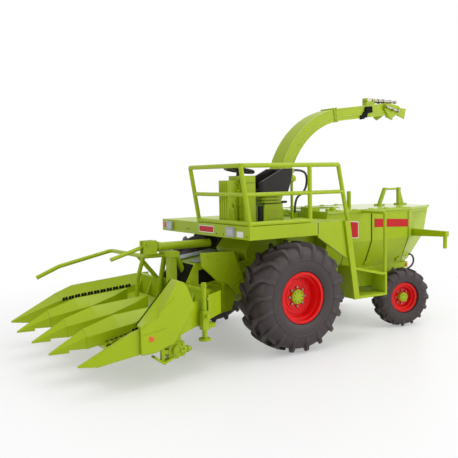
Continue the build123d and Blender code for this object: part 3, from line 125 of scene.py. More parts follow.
# White studio paper: matt where the model's shadow falls on it, and plain white further out
white_floor = new_material("white_floor")
tree = white_floor.node_tree
paper_place = add(tree, "ShaderNodeTexCoord").outputs["Object"]
away = add(tree, "ShaderNodeVectorMath", {0: paper_place}, operation="LENGTH")
fade = add(tree, "ShaderNodeMapRange", {"Value": away.outputs["Value"], "From Min": FADE_FROM,
                                        "From Max": FADE_TO, "To Min": LIFT},
           interpolation_type="SMOOTHSTEP")
beyond = add(tree, "ShaderNodeMath", {0: fade.outputs[0], 1: seen_white(tree)}, operation="MULTIPLY")
paper = add(tree, "ShaderNodeBsdfPrincipled", {"Base Color": linear("#fbfafb"), "Roughness": 0.35,
                                               "Specular IOR Level": 0.15})
glow = add(tree, "ShaderNodeEmission", {"Color": (1, 1, 1, 1), "Strength": WHITE})
mixed = add(tree, "ShaderNodeMixShader", {0: beyond.outputs[0], 1: paper.outputs[0], 2: glow.outputs[0]})
add(tree, "ShaderNodeOutputMaterial", {"Surface": mixed.outputs[0]})
floor_corners = [(x * FLOOR_HALF, y * FLOOR_HALF, 0) for x, y in ((-1, -1), (1, -1), (1, 1), (-1, 1))]
floor_mesh = bpy.data.meshes.new("floor")
floor_mesh.from_pydata(floor_corners, [], [(0, 1, 2, 3)])
floor_mesh.materials.append(white_floor)
floor = bpy.data.objects.new("floor", floor_mesh)
scene.collection.objects.link(floor)

# Camera
# The photograph's own view, from in front of the model's left side. From here on places are in
# millimetres from the floor point below the front axle.
AXLE_X = sum(c.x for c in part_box("front_left_hub")) / 2
CAMERA_PLACE = (181.82, 275.15, 79.29)
CAMERA_YAW = math.radians(-122.03)
CAMERA_PITCH = math.radians(-4.5)
CAMERA_ROLL = math.radians(-1.16)
LENS_MM = 52.22
NEAREST = 10 * MM            # what is nearer to the camera isn't drawn


def at(x, y, z):
    """A point given in millimetres from the floor point below the front axle."""
    return Vector((x * MM + AXLE_X, y * MM, z * MM))


forward = Vector((math.cos(CAMERA_PITCH) * math.cos(CAMERA_YAW),
                  math.cos(CAMERA_PITCH) * math.sin(CAMERA_YAW), math.sin(CAMERA_PITCH)))
level_right = forward.cross(Vector((0, 0, 1))).normalized()
level_up = level_right.cross(forward)
right = level_right * math.cos(CAMERA_ROLL) + level_up * math.sin(CAMERA_ROLL)
up = level_up * math.cos(CAMERA_ROLL) - level_right * math.sin(CAMERA_ROLL)
view_turn = Matrix((right, up, -forward)).transposed().to_4x4()
camera = bpy.data.objects.new("camera", bpy.data.cameras.new("camera"))
camera.data.lens = LENS_MM
camera.data.clip_start = NEAREST
camera.matrix_world = Matrix.Translation(at(*CAMERA_PLACE)) @ view_turn
scene.collection.objects.link(camera)
scene.camera = camera

# Enamelled castings
# The frame, hood, decks and header of the model are zinc castings and stiff plastic mouldings,
# sprayed with one coat of lime green enamel that rounds their edges.
EDGE_ROUND = 0.28 * MM       # radius that the coat gives to a sharp corner
EDGE_SAMPLES = 4
PEEL = 0.35 * MM             # size of the ripples in the coat
PEEL_DEPTH = 0.02 * MM
DRIFT = 14 * MM              # size of the slow changes in colour
CLOUD = 5 * MM               # size of the patches of more and less gloss
CLOUD_LESS = 0.04            # what such a patch takes off the roughness, or adds to it
CLOUD_MORE = 0.05
FILM_ROUGHNESS = 0.12        # of the clear film on top of the coat
COLOUR_A, COLOUR_B, COLOUR_OUT = 6, 7, 2     # a Mix node's sockets for colours, by number


def coated(name, colour, thin, roughness, coat, ripple=0.12, metallic=0.0, specular=0.5):
    """A sprayed or moulded surface. thin is its colour where the coat lies thinner, coat the share
    of clear film on it, and ripple how much its peel shows."""
    material = new_material(name)
    tree = material.node_tree
    place = add(tree, "ShaderNodeTexCoord").outputs["Object"]
    noises = [add(tree, "ShaderNodeTexNoise", {"Vector": place, "Scale": 1 / size})
              for size in (DRIFT, PEEL, CLOUD)]
    drift, peel, cloud = (noise.outputs["Fac"] for noise in noises)
    mix = add(tree, "ShaderNodeMix", {0: drift, COLOUR_A: linear(colour), COLOUR_B: linear(thin)},
              data_type="RGBA")
    rounded = add(tree, "ShaderNodeBevel", {"Radius": EDGE_ROUND}, samples=EDGE_SAMPLES)
    bump = add(tree, "ShaderNodeBump", {"Strength": ripple, "Distance": PEEL_DEPTH, "Height": peel,
                                        "Normal": rounded.outputs[0]})
    gloss = add(tree, "ShaderNodeMapRange", {"Value": cloud, "To Min": roughness - CLOUD_LESS,
                                             "To Max": roughness + CLOUD_MORE})
    surface = add(tree, "ShaderNodeBsdfPrincipled", {
        "Base Color": mix.outputs[COLOUR_OUT], "Roughness": gloss.outputs[0], "Normal": bump.outputs[0],
        "Coat Weight": coat, "Coat Roughness": FILM_ROUGHNESS, "Metallic": metallic,
        "Specular IOR Level": specular})
    add(tree, "ShaderNodeOutputMaterial", {"Surface": surface.outputs[0]})
    return material


# Lime enamel, sprayed: a semi-gloss coat with faint peel, a little darker in slow patches where it lies thin
green_enamel = coated("green_enamel", "#a7be10", "#9eb50c", 0.42, 0.14, specular=0.2)
# Black acetal, moulded: satin, slightly brown in the light
black_plastic = coated("black_plastic", "#211b18", "#181412", 0.42, 0.0, specular=0.28)
# Signal red enamel on the wheels, sprayed: smoother than the green coat, with a tighter highlight
red_enamel = coated("red_enamel", "#e50a0d", "#d8080b", 0.32, 0.10, specular=0.22)
# Nickel plated steel pins and nuts: bright, with a soft highlight
bright_steel = coated("bright_steel", "#9c978d", "#8d887f", 0.34, 0.0, metallic=1.0)
# Clear lens over a silvered lamp, which shows as an even pale grey
grey_lens = coated("grey_lens", "#b4b7ba", "#a8abae", 0.2, 0.5)
# Soft PVC, moulded: dull brown black with fine mould grain, a little lighter where hands rub it
tyre_rubber = coated("tyre_rubber", "#3a2f30", "#302626", 0.5, 0.0, ripple=0.3, specular=0.45)

FINISHES = {"green_enamel": green_enamel, "black_plastic": black_plastic, "red_enamel": red_enamel,
            "bright_steel": bright_steel, "grey_lens": grey_lens, "tyre": tyre_rubber}
for row in frame["record"]["subparts"]:
    node = frame["nodes"][row["node"]]
    node.data.materials.clear()
    node.data.materials.append(FINISHES[row["material_slot"]])

# Tyres
# Soft PVC tractor tyres, moulded in one piece and stretched over the rims. Leaning lugs run from
# the middle of the tread over the shoulder and down to a thin moulded line on the sidewall.
FRONT_R = 25.0
FRONT_HALF = 9.25
FRONT_Y = 37.35
REAR_R = 15.2
REAR_HALF = 4.9
KINGPIN = (-77.5, 23.0, 15.2)
REAR_OUT = 8.1               # from the kingpin to the middle of the tread
REST_STEER = -12.7
TREAD_SIDES = 96
SIDES = ((1, "left"), (-1, "right"))
IN_PLACE = (0, 0, 0)         # the step of copies that only turn
# Carcass: shares of the half width and of the radius, from the rim outwards
SIDEWALL = [(0.965, 0.545), (0.978, 0.60), (0.978, 0.670), (0.996, 0.677), (0.996, 0.688), (0.978, 0.695),
            (0.975, 0.76), (0.950, 0.82), (0.890, 0.872), (0.780, 0.908), (0.600, 0.926), (0.300, 0.932),
            (0.0, 0.934)]
# A lug: its top and its foot as shares, degrees that it runs ahead, and how wide it is cut there
LUG = [((0.03, 1.0), (0.03, 0.90), 7.6, 1.30), ((0.22, 1.0), (0.22, 0.90), 4.1, 1.30),
       ((0.42, 0.999), (0.42, 0.90), 0.6, 1.26), ((0.60, 0.996), (0.58, 0.895), -2.0, 1.18),
       ((0.74, 0.988), (0.68, 0.885), -3.8, 1.08), ((0.86, 0.965), (0.76, 0.870), -5.0, 1.0),
       ((0.94, 0.925), (0.83, 0.848), -5.6, 0.96), ((0.985, 0.87), (0.88, 0.820), -5.8, 0.94),
       ((1.0, 0.80), (0.90, 0.77), -5.8, 0.93), ((0.998, 0.735), (0.91, 0.72), -5.8, 0.92),
       ((0.985, 0.702), (0.93, 0.70), -5.8, 0.90)]
# A cut through a lug: shares of its half width, and of its depth from the top down
LUG_CUT = ((-1.0, 1.0), (-0.80, 0.22), (-0.62, 0.0), (0.62, 0.0), (0.80, 0.22), (1.0, 1.0))


def turned(outline, centre, axis, sides=24):
    """An outline of (distance along the axis, radius), spun about the axis through centre."""
    along = Vector(axis).normalized()
    across = along.orthogonal().normalized()
    places, faces, count = [], [], len(outline)
    for step in range(sides):
        spin = 2 * math.pi * (step + 0.5) / sides
        out = across * math.cos(spin) + along.cross(across) * math.sin(spin)
        places += [Vector(centre) + along * distance + out * radius for distance, radius in outline]
        after = (step + 1) % sides
        faces += [(step * count + i, step * count + i + 1, after * count + i + 1, after * count + i)
                  for i in range(count - 1)]
    return places, faces


def round_y(radius, y, degrees):
    """A point on a circle about the Y axis, so many degrees on from its top."""
    turn = math.radians(degrees)
    return Vector((radius * math.sin(turn), y, radius * math.cos(turn)))


def lug(radius, half, width, side, ahead):
    """One lug on the outer (side 1) or inner (side -1) half of a tread, ahead by so many degrees."""
    rings = []
    lean = (half / radius) / (FRONT_HALF / FRONT_R)
    for (top_y, top_r), (foot_y, foot_r), run, wide in LUG:
        ring = []
        for share, depth in LUG_CUT:
            r = radius * (top_r + (foot_r - top_r) * depth)
            y = half * (top_y + (foot_y - top_y) * depth)
            edge = math.degrees(share * width / 2 * wide / r)
            ring.append(round_y(r, side * y, ahead + run * lean + edge))
        rings.append(ring)
    places = [place for ring in rings for place in ring]
    count = len(LUG_CUT)
    faces = [tuple(range(count)), tuple(range(len(places) - count, len(places)))]
    for start in range(0, len(places) - count, count):
        faces += [(start + c, start + (c + 1) % count, start + count + (c + 1) % count, start + count + c)
                  for c in range(count)]
    return places, faces


def carcass(radius, half, rim_r, bead_y):
    """The tyre below its lugs: from the bead in the rim, over both sidewalls and the tread."""
    bead = [(bead_y, rim_r + 0.03), (bead_y + 0.15, rim_r + 0.68), (0.90 * half, rim_r + 0.95)]
    outline = bead + [(y * half, r * radius) for y, r in SIDEWALL]
    outline += [(-y, r) for y, r in outline[-2::-1]] + [outline[0]]
    return turned(outline, (0, 0, 0), (0, 1, 0), TREAD_SIDES)


SMOOTH_BELOW = math.radians(34)
MERGE = 0.001                # millimetres
ORIGIN = Matrix.Translation(at(0, 0, 0))


def shade(mesh):
    """Smooth faces, with an edge kept wherever the form folds."""
    mesh.polygons.foreach_set("use_smooth", [True] * len(mesh.polygons))
    mesh.set_sharp_from_angle(angle=SMOOTH_BELOW)


def mesh_of(name, shapes):
    """One mesh of closed shapes in millimetres, faces outwards, in metres round its own origin."""
    build = bmesh.new()
    for places, faces in shapes:
        corners = [build.verts.new(Vector(place)) for place in places]
        skin = [build.faces.new([corners[i] for i in face]) for face in faces]
        bmesh.ops.remove_doubles(build, verts=corners, dist=MERGE)
        bmesh.ops.recalc_face_normals(build, faces=[face for face in skin if face.is_valid])
    bmesh.ops.scale(build, vec=(MM, MM, MM), verts=build.verts)
    mesh = bpy.data.meshes.new(name)
    build.to_mesh(mesh)
    build.free()
    shade(mesh)
    return mesh


def piece(name, mesh, material, body, place=ORIGIN, replaces=()):
    """A piece at its place on a body. Its object stays at the origin, its place is in its mesh."""
    mesh.transform(place)
    mesh.materials.clear()
    mesh.materials.append(material)
    made = bpy.data.objects.new(name, mesh)
    scene.collection.objects.link(made)
    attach(made, body)
    if replaces:
        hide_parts(*replaces)


# What repeats is made by one tree: copies of a piece in a row, each stepped and turned from the last
repeated_tree = bpy.data.node_groups.new("repeated", "GeometryNodeTree")
INPUTS = {"Geometry": "NodeSocketGeometry", "Count": "NodeSocketInt", "Step": "NodeSocketVector",
          "Turn": "NodeSocketFloat", "Finish": "NodeSocketMaterial"}
SOCKETS = {name: repeated_tree.interface.new_socket(name, in_out="INPUT", socket_type=kind).identifier
           for name, kind in INPUTS.items()}
repeated_tree.interface.new_socket("Geometry", in_out="OUTPUT", socket_type="NodeSocketGeometry")
given = add(repeated_tree, "NodeGroupInput").outputs
row_points = add(repeated_tree, "GeometryNodeMeshLine", {"Count": given["Count"], "Offset": given["Step"]})
number = add(repeated_tree, "GeometryNodeInputIndex").outputs[0]
spin = add(repeated_tree, "ShaderNodeMath", {0: number, 1: given["Turn"]}, operation="MULTIPLY").outputs[0]
euler = add(repeated_tree, "ShaderNodeCombineXYZ", {"Y": spin}).outputs[0]
rotation = add(repeated_tree, "FunctionNodeEulerToRotation", {0: euler}).outputs[0]
copies = add(repeated_tree, "GeometryNodeInstanceOnPoints",
             {"Points": row_points.outputs[0], "Instance": given["Geometry"], "Rotation": rotation})
real = add(repeated_tree, "GeometryNodeRealizeInstances", {0: copies.outputs[0]})
painted = add(repeated_tree, "GeometryNodeSetMaterial", {"Geometry": real.outputs[0],
                                                         "Material": given["Finish"]})
add(repeated_tree, "NodeGroupOutput", {0: painted.outputs[0]})


def repeated(name, shapes, count, step, turn, material, body, place=ORIGIN, extra=(), replaces=()):
    """Copies of shapes in a row, and extra once. step is in millimetres, turn in degrees about Y."""
    source = bpy.data.objects.new(name + "_source", mesh_of(name + "_source", shapes))
    scene.collection.objects.link(source)
    modifier = source.modifiers.new("repeated", "NODES")
    modifier.node_group = repeated_tree
    modifier[SOCKETS["Count"]] = count
    modifier[SOCKETS["Step"]] = [length * MM for length in step]
    modifier[SOCKETS["Turn"]] = math.radians(turn)
    modifier[SOCKETS["Finish"]] = material
    seen = bpy.context.evaluated_depsgraph_get()
    mesh = bpy.data.meshes.new_from_object(source.evaluated_get(seen), depsgraph=seen)
    source.modifiers.remove(modifier)
    bpy.data.objects.remove(source)
    if extra:
        build = bmesh.new()
        build.from_mesh(mesh)
        build.from_mesh(mesh_of(name + "_core", extra))
        build.to_mesh(mesh)
        build.free()
        shade(mesh)
    mesh.name = name
    piece(name, mesh, material, body, place, replaces)


# Each wheel: its side, and the place of the middle of its tread
WHEELS = {}
for side, word in SIDES:
    WHEELS[f"front_{word}"] = (side, Matrix.Translation(at(0, side * FRONT_Y, FRONT_R)))
    x, y, z = KINGPIN
    turned_in = Matrix.Translation(at(x, side * y, z)) @ Matrix.Rotation(math.radians(REST_STEER), 4, "Z")
    WHEELS[f"rear_{word}"] = (side, turned_in @ Matrix.Translation((0, side * REAR_OUT * MM, 0)))
# Tyre radius, half width, rim radius, bead, lug width and number
TYRES = {"front": (FRONT_R, FRONT_HALF, 11.0, 7.05, 2.7, 18), "rear": (REAR_R, REAR_HALF, 7.1, 2.7, 1.9, 16)}
for wheel, (side, place) in WHEELS.items():
    radius, half, rim_r, bead_y, lug_w, lugs = TYRES[wheel.split("_")[0]]
    pair = [lug(radius, half, lug_w, side, 90), lug(radius, half, lug_w, -side, 90 + 180 / lugs)]
    repeated(f"{wheel}_moulded_tyre", pair, lugs, IN_PLACE, 360 / lugs, tyre_rubber, f"{wheel}_wheel",
             place, extra=[carcass(radius, half, rim_r, bead_y)], replaces=[f"{wheel}_tyre"])

# Wheel nuts and pressed rings
# Each red disc is pressed with raised rings and held by eight nickel plated nuts; the green hub
# cap has a circle of small drilled marks.
NUTS = 8
NUT_HIGH = 0.75
MARK_HIGH = 0.12
# Disc face, circle and size of the nuts, the raised rings, cap face, circle and size of the marks
DISCS = {"front": (3.2, 4.25, 0.62, (5.75, 7.45), 4.7, 2.25, 0.33),
         "rear": (0.9, 3.55, 0.5, (5.0,), 3.5, 1.3, 0.22)}
# A raised ring's section: its height over the disc, and how far that is from its circle
RING = ((-0.1, -0.55), (0.28, -0.3), (0.36, 0), (0.28, 0.3), (-0.1, 0.55), (-0.1, -0.55))
RING_SIDES = 72
# Drilled marks, and the model's other fine hollows: shadowed enamel, much darker than what is round it
drilled_enamel = coated("drilled_enamel", "#4d5c0c", "#445209", 0.6, 0.0)


def screw_head(centre, axis, radius, height, sides=6):
    """A chamfered head that stands on a surface, hexagonal unless it has more sides."""
    outline = [(-0.05, 0), (-0.05, radius), (0.7 * height, radius), (height, 0.75 * radius), (height, 0)]
    return turned(outline, centre, axis, sides)


def fitted(name, shapes, material, body, place=ORIGIN):
    """A piece made of closed shapes."""
    piece(name, mesh_of(name, shapes), material, body, place)


for wheel, (side, place) in WHEELS.items():
    face, nut_circle, nut_r, rings, cap, mark_circle, mark_r = DISCS[wheel.split("_")[0]]
    out = (0, side, 0)
    body = f"{wheel}_wheel"
    nut = screw_head((nut_circle, side * face, 0), out, nut_r, NUT_HIGH)
    repeated(f"{wheel}_nuts", [nut], NUTS, IN_PLACE, 360 / NUTS, bright_steel, body, place)
    mark = screw_head((mark_circle, side * cap, 0), out, mark_r, MARK_HIGH, 10)
    repeated(f"{wheel}_cap_marks", [mark], NUTS, IN_PLACE, 360 / NUTS, drilled_enamel, body, place)
    pressed = [turned([(high, r + aside) for high, aside in RING], (0, side * face, 0), out, RING_SIDES)
               for r in rings]
    fitted(f"{wheel}_disc_rings", pressed, red_enamel, body, place)

# Hood fittings
# Thin printed foils, sprung latches and hinges on the cast hood: red foil on the left and right
# sides, two latches at the foot of each door, and hinge knuckles along the lid's edges.
HOOD_Y = 26.0
LID = 61.2
LID_EDGE = 25.9
LATCH_XS = (-59.5, -82.5)
OFF = 0.01                   # a foil or a drawn gap starts this far off the enamel under it
# Printed foil: flat, even colour under a clear gloss
red_foil = coated("red_foil", "#c8141c", "#c01219", 0.4, 0.05, ripple=0.03, specular=0.2)
white_foil = coated("white_foil", "#efeeea", "#e8e7e3", 0.35, 0.1, ripple=0.03)
# Orange reflectors, moulded clear plastic over foil: bright and glossy
orange_lens = coated("orange_lens", "#ee5a12", "#e64f0e", 0.22, 0.4)
# Gaps round a door and at the left cover, and the shade along the hood rib's edges: painted shade, unlit
# enamel, nearly black green
door_gap = coated("door_gap", "#39450a", "#313c08", 0.7, 0.0, specular=0.1)
# The lid's enamel is polished: seen along, it mirrors the pale backdrop
lid_enamel = coated("lid_enamel", "#a7be10", "#9eb50c", 0.3, 0.6, specular=0.4)
frame["nodes"]["hood_lid"].data.materials[0] = lid_enamel
# Foils on each side: corners as (x, z), thickness and finish
HOOD_FOILS = {
    "square_edge": (((-45.6, 47.2), (-51.2, 47.0), (-51.2, 55.4), (-45.6, 55.9)), 0.05, white_foil),
    "square_foil": (((-45.9, 47.6), (-50.9, 47.4), (-50.9, 55.0), (-45.9, 55.5)), 0.09, red_foil),
    "stripe_foil": (((-62.4, 51.9), (-87.0, 50.9), (-87.0, 54.9), (-62.4, 56.3)), 0.07, red_foil)}


def slab(corners, push):
    """A flat outline, thick by the vector push. All in millimetres."""
    low = [Vector(corner) for corner in corners]
    count = len(low)
    faces = [tuple(range(count)), tuple(range(count, 2 * count))]
    faces += [(i, (i + 1) % count, count + (i + 1) % count, count + i) for i in range(count)]
    return low + [corner + Vector(push) for corner in low], faces


def bar(x0, x1, y0, y1, z0, z1):
    """A squared length of material between two corners."""
    return slab([(x0, y0, z0), (x1, y0, z0), (x1, y1, z0), (x0, y1, z0)], (0, 0, z1 - z0))


def tube(points, radius, sides=10):
    """A round bar or pipe through the points."""
    line = [Vector(point) for point in points]
    places, faces, count = [], [], len(line)
    across = (line[1] - line[0]).orthogonal().normalized()
    for i, point in enumerate(line):
        along = (line[min(i + 1, count - 1)] - line[max(i - 1, 0)]).normalized()
        across = (across - along * across.dot(along)).normalized()
        for step in range(sides):
            spin = 2 * math.pi * step / sides
            out = across * math.cos(spin) + along.cross(across) * math.sin(spin)
            places.append(point + out * radius)
    for i in range(count - 1):
        faces += [(i * sides + s, i * sides + (s + 1) % sides, (i + 1) * sides + (s + 1) % sides,
                   (i + 1) * sides + s) for s in range(sides)]
    faces += [tuple(range(sides)), tuple(range((count - 1) * sides, count * sides))]
    return places, faces


for side, word in SIDES:
    for label, (corners, thick, finish) in HOOD_FOILS.items():
        outline = [(x, side * (HOOD_Y + OFF), z) for x, z in corners]
        fitted(f"{word}_{label}", [slab(outline, (0, side * thick, 0))], finish, "chassis")
    latches = []
    for x in LATCH_XS:
        plate = [(x, side * 20.5, 32.2), (x - 3.2, side * 20.5, 32.2), (x - 3.2, side * 21.2, 34.0),
                 (x, side * 21.2, 34.0)]
        pull = [(x - 0.4, side * 21.3, 33.6), (x - 1.6, side * 22.0, 34.3), (x - 3.6, side * 21.6, 34.6)]
        latches += [slab(plate, (0, side * 0.7, 0)), tube(pull, 0.32),
                    screw_head((x - 0.8, side * 21.2, 32.7), (0, side, 0), 0.35, 0.4)]
    fitted(f"{word}_hood_latches", latches, green_enamel, "chassis")
    hinge = turned([(-1.3, 0), (-1.3, 0.5), (1.3, 0.5), (1.3, 0)], (-38.0, side * LID_EDGE, LID + 0.2),
                   (1, 0, 0), 12)
    repeated(f"{word}_lid_hinges", [hinge], 5, (-11.0, 0, 0), 0, green_enamel, "chassis")
# Door seams: the dark gap round each side door, and painted shadow along both edges of its rib
HOOD_FOOT_Y = 20.0           # half the hood's width where it stands on the sills
HOOD_FOOT_Z = 31.0
HOOD_KNEE_Z = 45.2           # the fold above which its side is upright
SEAM_XS = (-61.90, -60.10, -43.5, -86.9)
SEAM_HALF = 0.2
SEAM_THICK = 0.05
SEAM_START = 1.5             # above the foot
SEAM_TOP = 59.2
sill_y = HOOD_FOOT_Y + (HOOD_Y - HOOD_FOOT_Y) * SEAM_START / (HOOD_KNEE_Z - HOOD_FOOT_Z)
seam_line = ((sill_y, HOOD_FOOT_Z + SEAM_START), (HOOD_Y, HOOD_KNEE_Z), (HOOD_Y, SEAM_TOP))
for side, word in SIDES:
    seams = []
    for x in SEAM_XS:
        for (y0, z0), (y1, z1) in zip(seam_line, seam_line[1:]):
            outline = [(x - SEAM_HALF, side * (y0 + OFF), z0), (x + SEAM_HALF, side * (y0 + OFF), z0),
                       (x + SEAM_HALF, side * (y1 + OFF), z1), (x - SEAM_HALF, side * (y1 + OFF), z1)]
            seams.append(slab(outline, (0, side * SEAM_THICK, 0)))
    fitted(f"{word}_door_seams", seams, door_gap, "chassis")
reflector = [(-0.05, 0), (-0.05, 0.85), (0.35, 0.85), (0.55, 0.6), (0.6, 0)]
reflectors = [turned(reflector, (-91.8, side * 20.0, 29.5), (0, side, 0), 20) for side in (1, -1)]
fitted("sill_reflectors", reflectors, orange_lens, "chassis")
border = [bar(-88.0, -30.8, side * LID_EDGE - 0.25, side * LID_EDGE + 0.25, LID - 0.1, LID + 0.25)
          for side in (1, -1)]
fitted("lid_border", border, green_enamel, "chassis")
# Moulded ribs across the lid, and the tank's two filler caps on it
tread = slab([(-40.0, -16.0, LID - 0.05), (-40.0, -1.0, LID - 0.05), (-40.6, -1.0, LID - 0.05),
              (-40.6, -16.0, LID - 0.05)], (0, 0, 0.25))
repeated("lid_tread", [tread], 12, (-2.0, 0, 0), 0, green_enamel, "chassis")
caps = [turned([(-0.2, 0), (-0.2, 1.7), (1.0, 1.7), (1.3, 1.4), (1.3, 0.9), (1.9, 0.8), (1.9, 0)],
               (-42.0, 17.0, LID), (0, 0, 1), 20),
        turned([(-0.2, 0), (-0.2, 1.1), (0.8, 1.1), (1.1, 0.8), (1.1, 0)], (-37.0, 19.0, LID),
               (0, 0, 1), 16)]
fitted("filler_caps", caps, green_enamel, "chassis")

# Ladder treads
# The ladder's two steps are moulded with it, in the deck's green. Nine ribs run along each step
# and keep a boot from slipping.
STEP_RIBS = 9
RIB_STEP = (0, -0.85, 0)
tread = slab([(-33.0, 41.6, 35.0), (-51.4, 41.6, 30.9), (-51.4, 41.3, 30.9), (-33.0, 41.3, 35.0)],
             (0, 0, 0.5))
repeated("upper_step_ribs", [tread], STEP_RIBS, RIB_STEP, 0, green_enamel, "chassis")
tread = bar(-53.0, -35.2, 41.3, 41.6, 21.1, 21.45)
repeated("lower_step_ribs", [tread], STEP_RIBS, RIB_STEP, 0, green_enamel, "chassis")

# Platform floor and front plates
# A ribbed mat, near-black as painted shade, covers the platform; on the deck's front edge are
# two lamps, a red foil plate with a white edge, a small pale plate and a red reflector.
DECK = 57.8
DECK_FRONT = 25.2
# Painted shade on the platform floor: a matt, near-black mat that keeps a trace of the deck's green
platform_shade_black = coated("platform_shade_black", "#1d1f17", "#171912", 0.7, 0.0, specular=0.2)
rib = bar(-10.6, 9.4, 26.2, 26.6, DECK + 0.2, DECK + 0.5)
repeated("shade_mat_ribs", [rib], 12, (0, 1.05, 0), 0, platform_shade_black, "chassis")
mats = [bar(-10.8, 9.6, 25.8, 38.6, DECK - 0.05, DECK + 0.25),
        bar(-11.0, 23.0, -3.0, 10.0, DECK - 0.05, DECK + 0.2),
        bar(10.2, 23.0, 25.0, 38.6, DECK - 0.05, DECK + 0.25)]
fitted("platform_shade_mats", mats, platform_shade_black, "chassis")
# Plates on the front edge: from y to y, from z to z, how proud they stand, and the finish
FRONT_PLATES = {"name_plate_edge": (-2.3, 11.5, 53.3, 56.7, 0.06, white_foil),
                "name_plate_foil": (-1.9, 11.1, 53.7, 56.3, 0.10, red_foil),
                "small_plate": (31.1, 36.4, 52.8, 55.4, 0.12, white_foil),
                "end_reflector": (-40.4, -38.2, 53.6, 56.2, 0.35, orange_lens)}
for name, (y0, y1, z0, z1, thick, finish) in FRONT_PLATES.items():
    outline = [(DECK_FRONT, y0, z0), (DECK_FRONT, y1, z0), (DECK_FRONT, y1, z1), (DECK_FRONT, y0, z1)]
    fitted(name, [slab(outline, (thick, 0, 0))], finish, "chassis")
# The lamps' lenses: a pale pane in each frame
panes = [bar(26.15, 26.45, y - 2.5, y + 2.5, 53.3, 56.5) for y in (-31.8, 26.8)]
fitted("lamp_panes", panes, grey_lens, "chassis")
rivets = [screw_head((DECK_FRONT, y, z), (1, 0, 0), 0.3, 0.3, 8)
          for y, z in ((-14.0, 54.2), (-12.4, 54.2), (14.0, 53.4), (20.0, 53.4), (39.0, 53.4))]
fitted("deck_rivets", rivets, drilled_enamel, "chassis")
# The corner seam where the mudguard meets the deck
fitted("deck_joint", [bar(-12.55, -12.1, 41.25, 41.36, 52.4, 57.6)], drilled_enamel, "chassis")

# Driver's place
# The console carries pipes, a dial panel and two levers; the seat's box has a clamp, a slot for
# the slide and a height knob. All are small mouldings pressed into the platform.
GRIP = [(-0.7, 0), (-0.6, 0.5), (0, 0.7), (0.6, 0.5), (0.7, 0)]
fittings = []
for y, top in ((19.4, 74.0), (20.6, 76.0), (21.8, 72.5)):
    pipe = [(16.5, y, DECK), (16.5, y, top - 1.0), (16.9, y, top), (18.6, y, top + 0.5)]
    fittings.append(tube(pipe, 0.42))
for x, y, height in ((18.4, 20.8, 9.0), (20.0, 21.6, 6.5)):
    fittings += [tube([(x, y, DECK), (x + 0.3, y, DECK + height * 0.6), (x + 1.0, y, DECK + height)], 0.32),
                 turned(GRIP, (x + 1.0, y, DECK + height), (0, 0, 1), 12)]
for z in (60.5, 66.0, 71.5):
    fittings.append(bar(16.1, 17.4, 18.9, 22.6, z, z + 0.6))
for y in (12.6, 14.4, 16.2, 18.0):
    fittings.append(bar(22.1, 22.5, y, y + 0.5, 59.0, 76.6))
fitted("console_pipes", fittings, green_enamel, "chassis")
shades = [bar(10.4, 15.8, 23.95, 24.04, 76.2, 76.45), bar(9.9, 9.96, 12.0, 23.0, 60.0, 60.3),
          bar(16.0, 16.3, 20.1, 20.3, DECK, 78.6)]
fitted("console_seams", shades, drilled_enamel, "chassis")
panel = [bar(-5.6, 4.0, 22.9, 23.2, 59.3, 64.2), bar(-6.5, -5.2, 21.6, 23.3, 58.6, 59.4),
         bar(3.0, 4.9, 21.8, 23.3, 58.2, 65.0)]
fitted("seat_box_panel", panel, green_enamel, "chassis")
slide = [bar(4.9, 6.4, 20.4, 22.4, 58.0, 65.4), bar(-6.4, 4.9, 22.2, 22.6, 66.4, 66.9),
         turned([(-1.0, 0), (-1.0, 0.6), (1.3, 0.6), (1.7, 0.4), (1.7, 0)], (-7.4, 22.2, 66.9),
                (-1, 0, 0), 14)]
fitted("seat_slide_and_knob", slide, black_plastic, "chassis")
levers = [tube([(-7.2, 20.8, 62.6), (-9.6, 21.4, 63.0), (-11.6, 21.4, 62.2)], 0.4),
          tube([(-7.2, 20.2, 61.0), (-9.2, 20.8, 61.3), (-11.0, 20.8, 60.6)], 0.35),
          bar(-7.4, -5.9, 19.6, 21.6, 60.2, 63.6)]
fitted("seat_levers", levers, green_enamel, "chassis")
knob = turned([(-1.7, 0), (-1.6, 1.1), (-1.2, 1.7), (1.2, 1.7), (1.6, 1.1), (1.7, 0)], (-20.0, 12.0, 77.8),
              (0, 1, 0), 20)
fitted("lever_knob", [knob], green_enamel, "chassis")

# Valve hose
# A short hose of extruded PVC, pushed on the valve behind the seat. It bows back and down by its
# own stiffness, and its other end goes into the casing.
HOSE_ROUTE = [(-21.0, 12.0, 81.9), (-27.5, 12.0, 82.0), (-33.2, 8.0, 78.0), (-33.0, 6.2, 70.8),
              (-27.0, 5.0, 67.6), (-27.2, 5.0, 60.2)]
HOSE_R = 0.6
# Extruded PVC hose: smooth, satin, nearly black
hose_pvc = coated("hose_pvc", "#333035", "#2a282c", 0.4, 0.0, ripple=0.05)
hose_line = bpy.data.curves.new("valve_hose", "CURVE")
hose_line.dimensions = "3D"
spline = hose_line.splines.new("NURBS")
spline.points.add(len(HOSE_ROUTE) - 1)
for point, place in zip(spline.points, HOSE_ROUTE):
    point.co = (*at(*place), 1.0)
spline.order_u = 3
spline.use_endpoint_u = True
spline.resolution_u = 12
hose_line.bevel_depth = HOSE_R * MM
hose_line.bevel_resolution = 4
hose_line.use_fill_caps = True
hose_line.materials.append(hose_pvc)
valve_hose = bpy.data.objects.new("valve_hose", hose_line)
scene.collection.objects.link(valve_hose)
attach(valve_hose, "chassis")
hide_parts("deck_hose")
frame["nodes"]["rear_hose"].data.materials[0] = hose_pvc

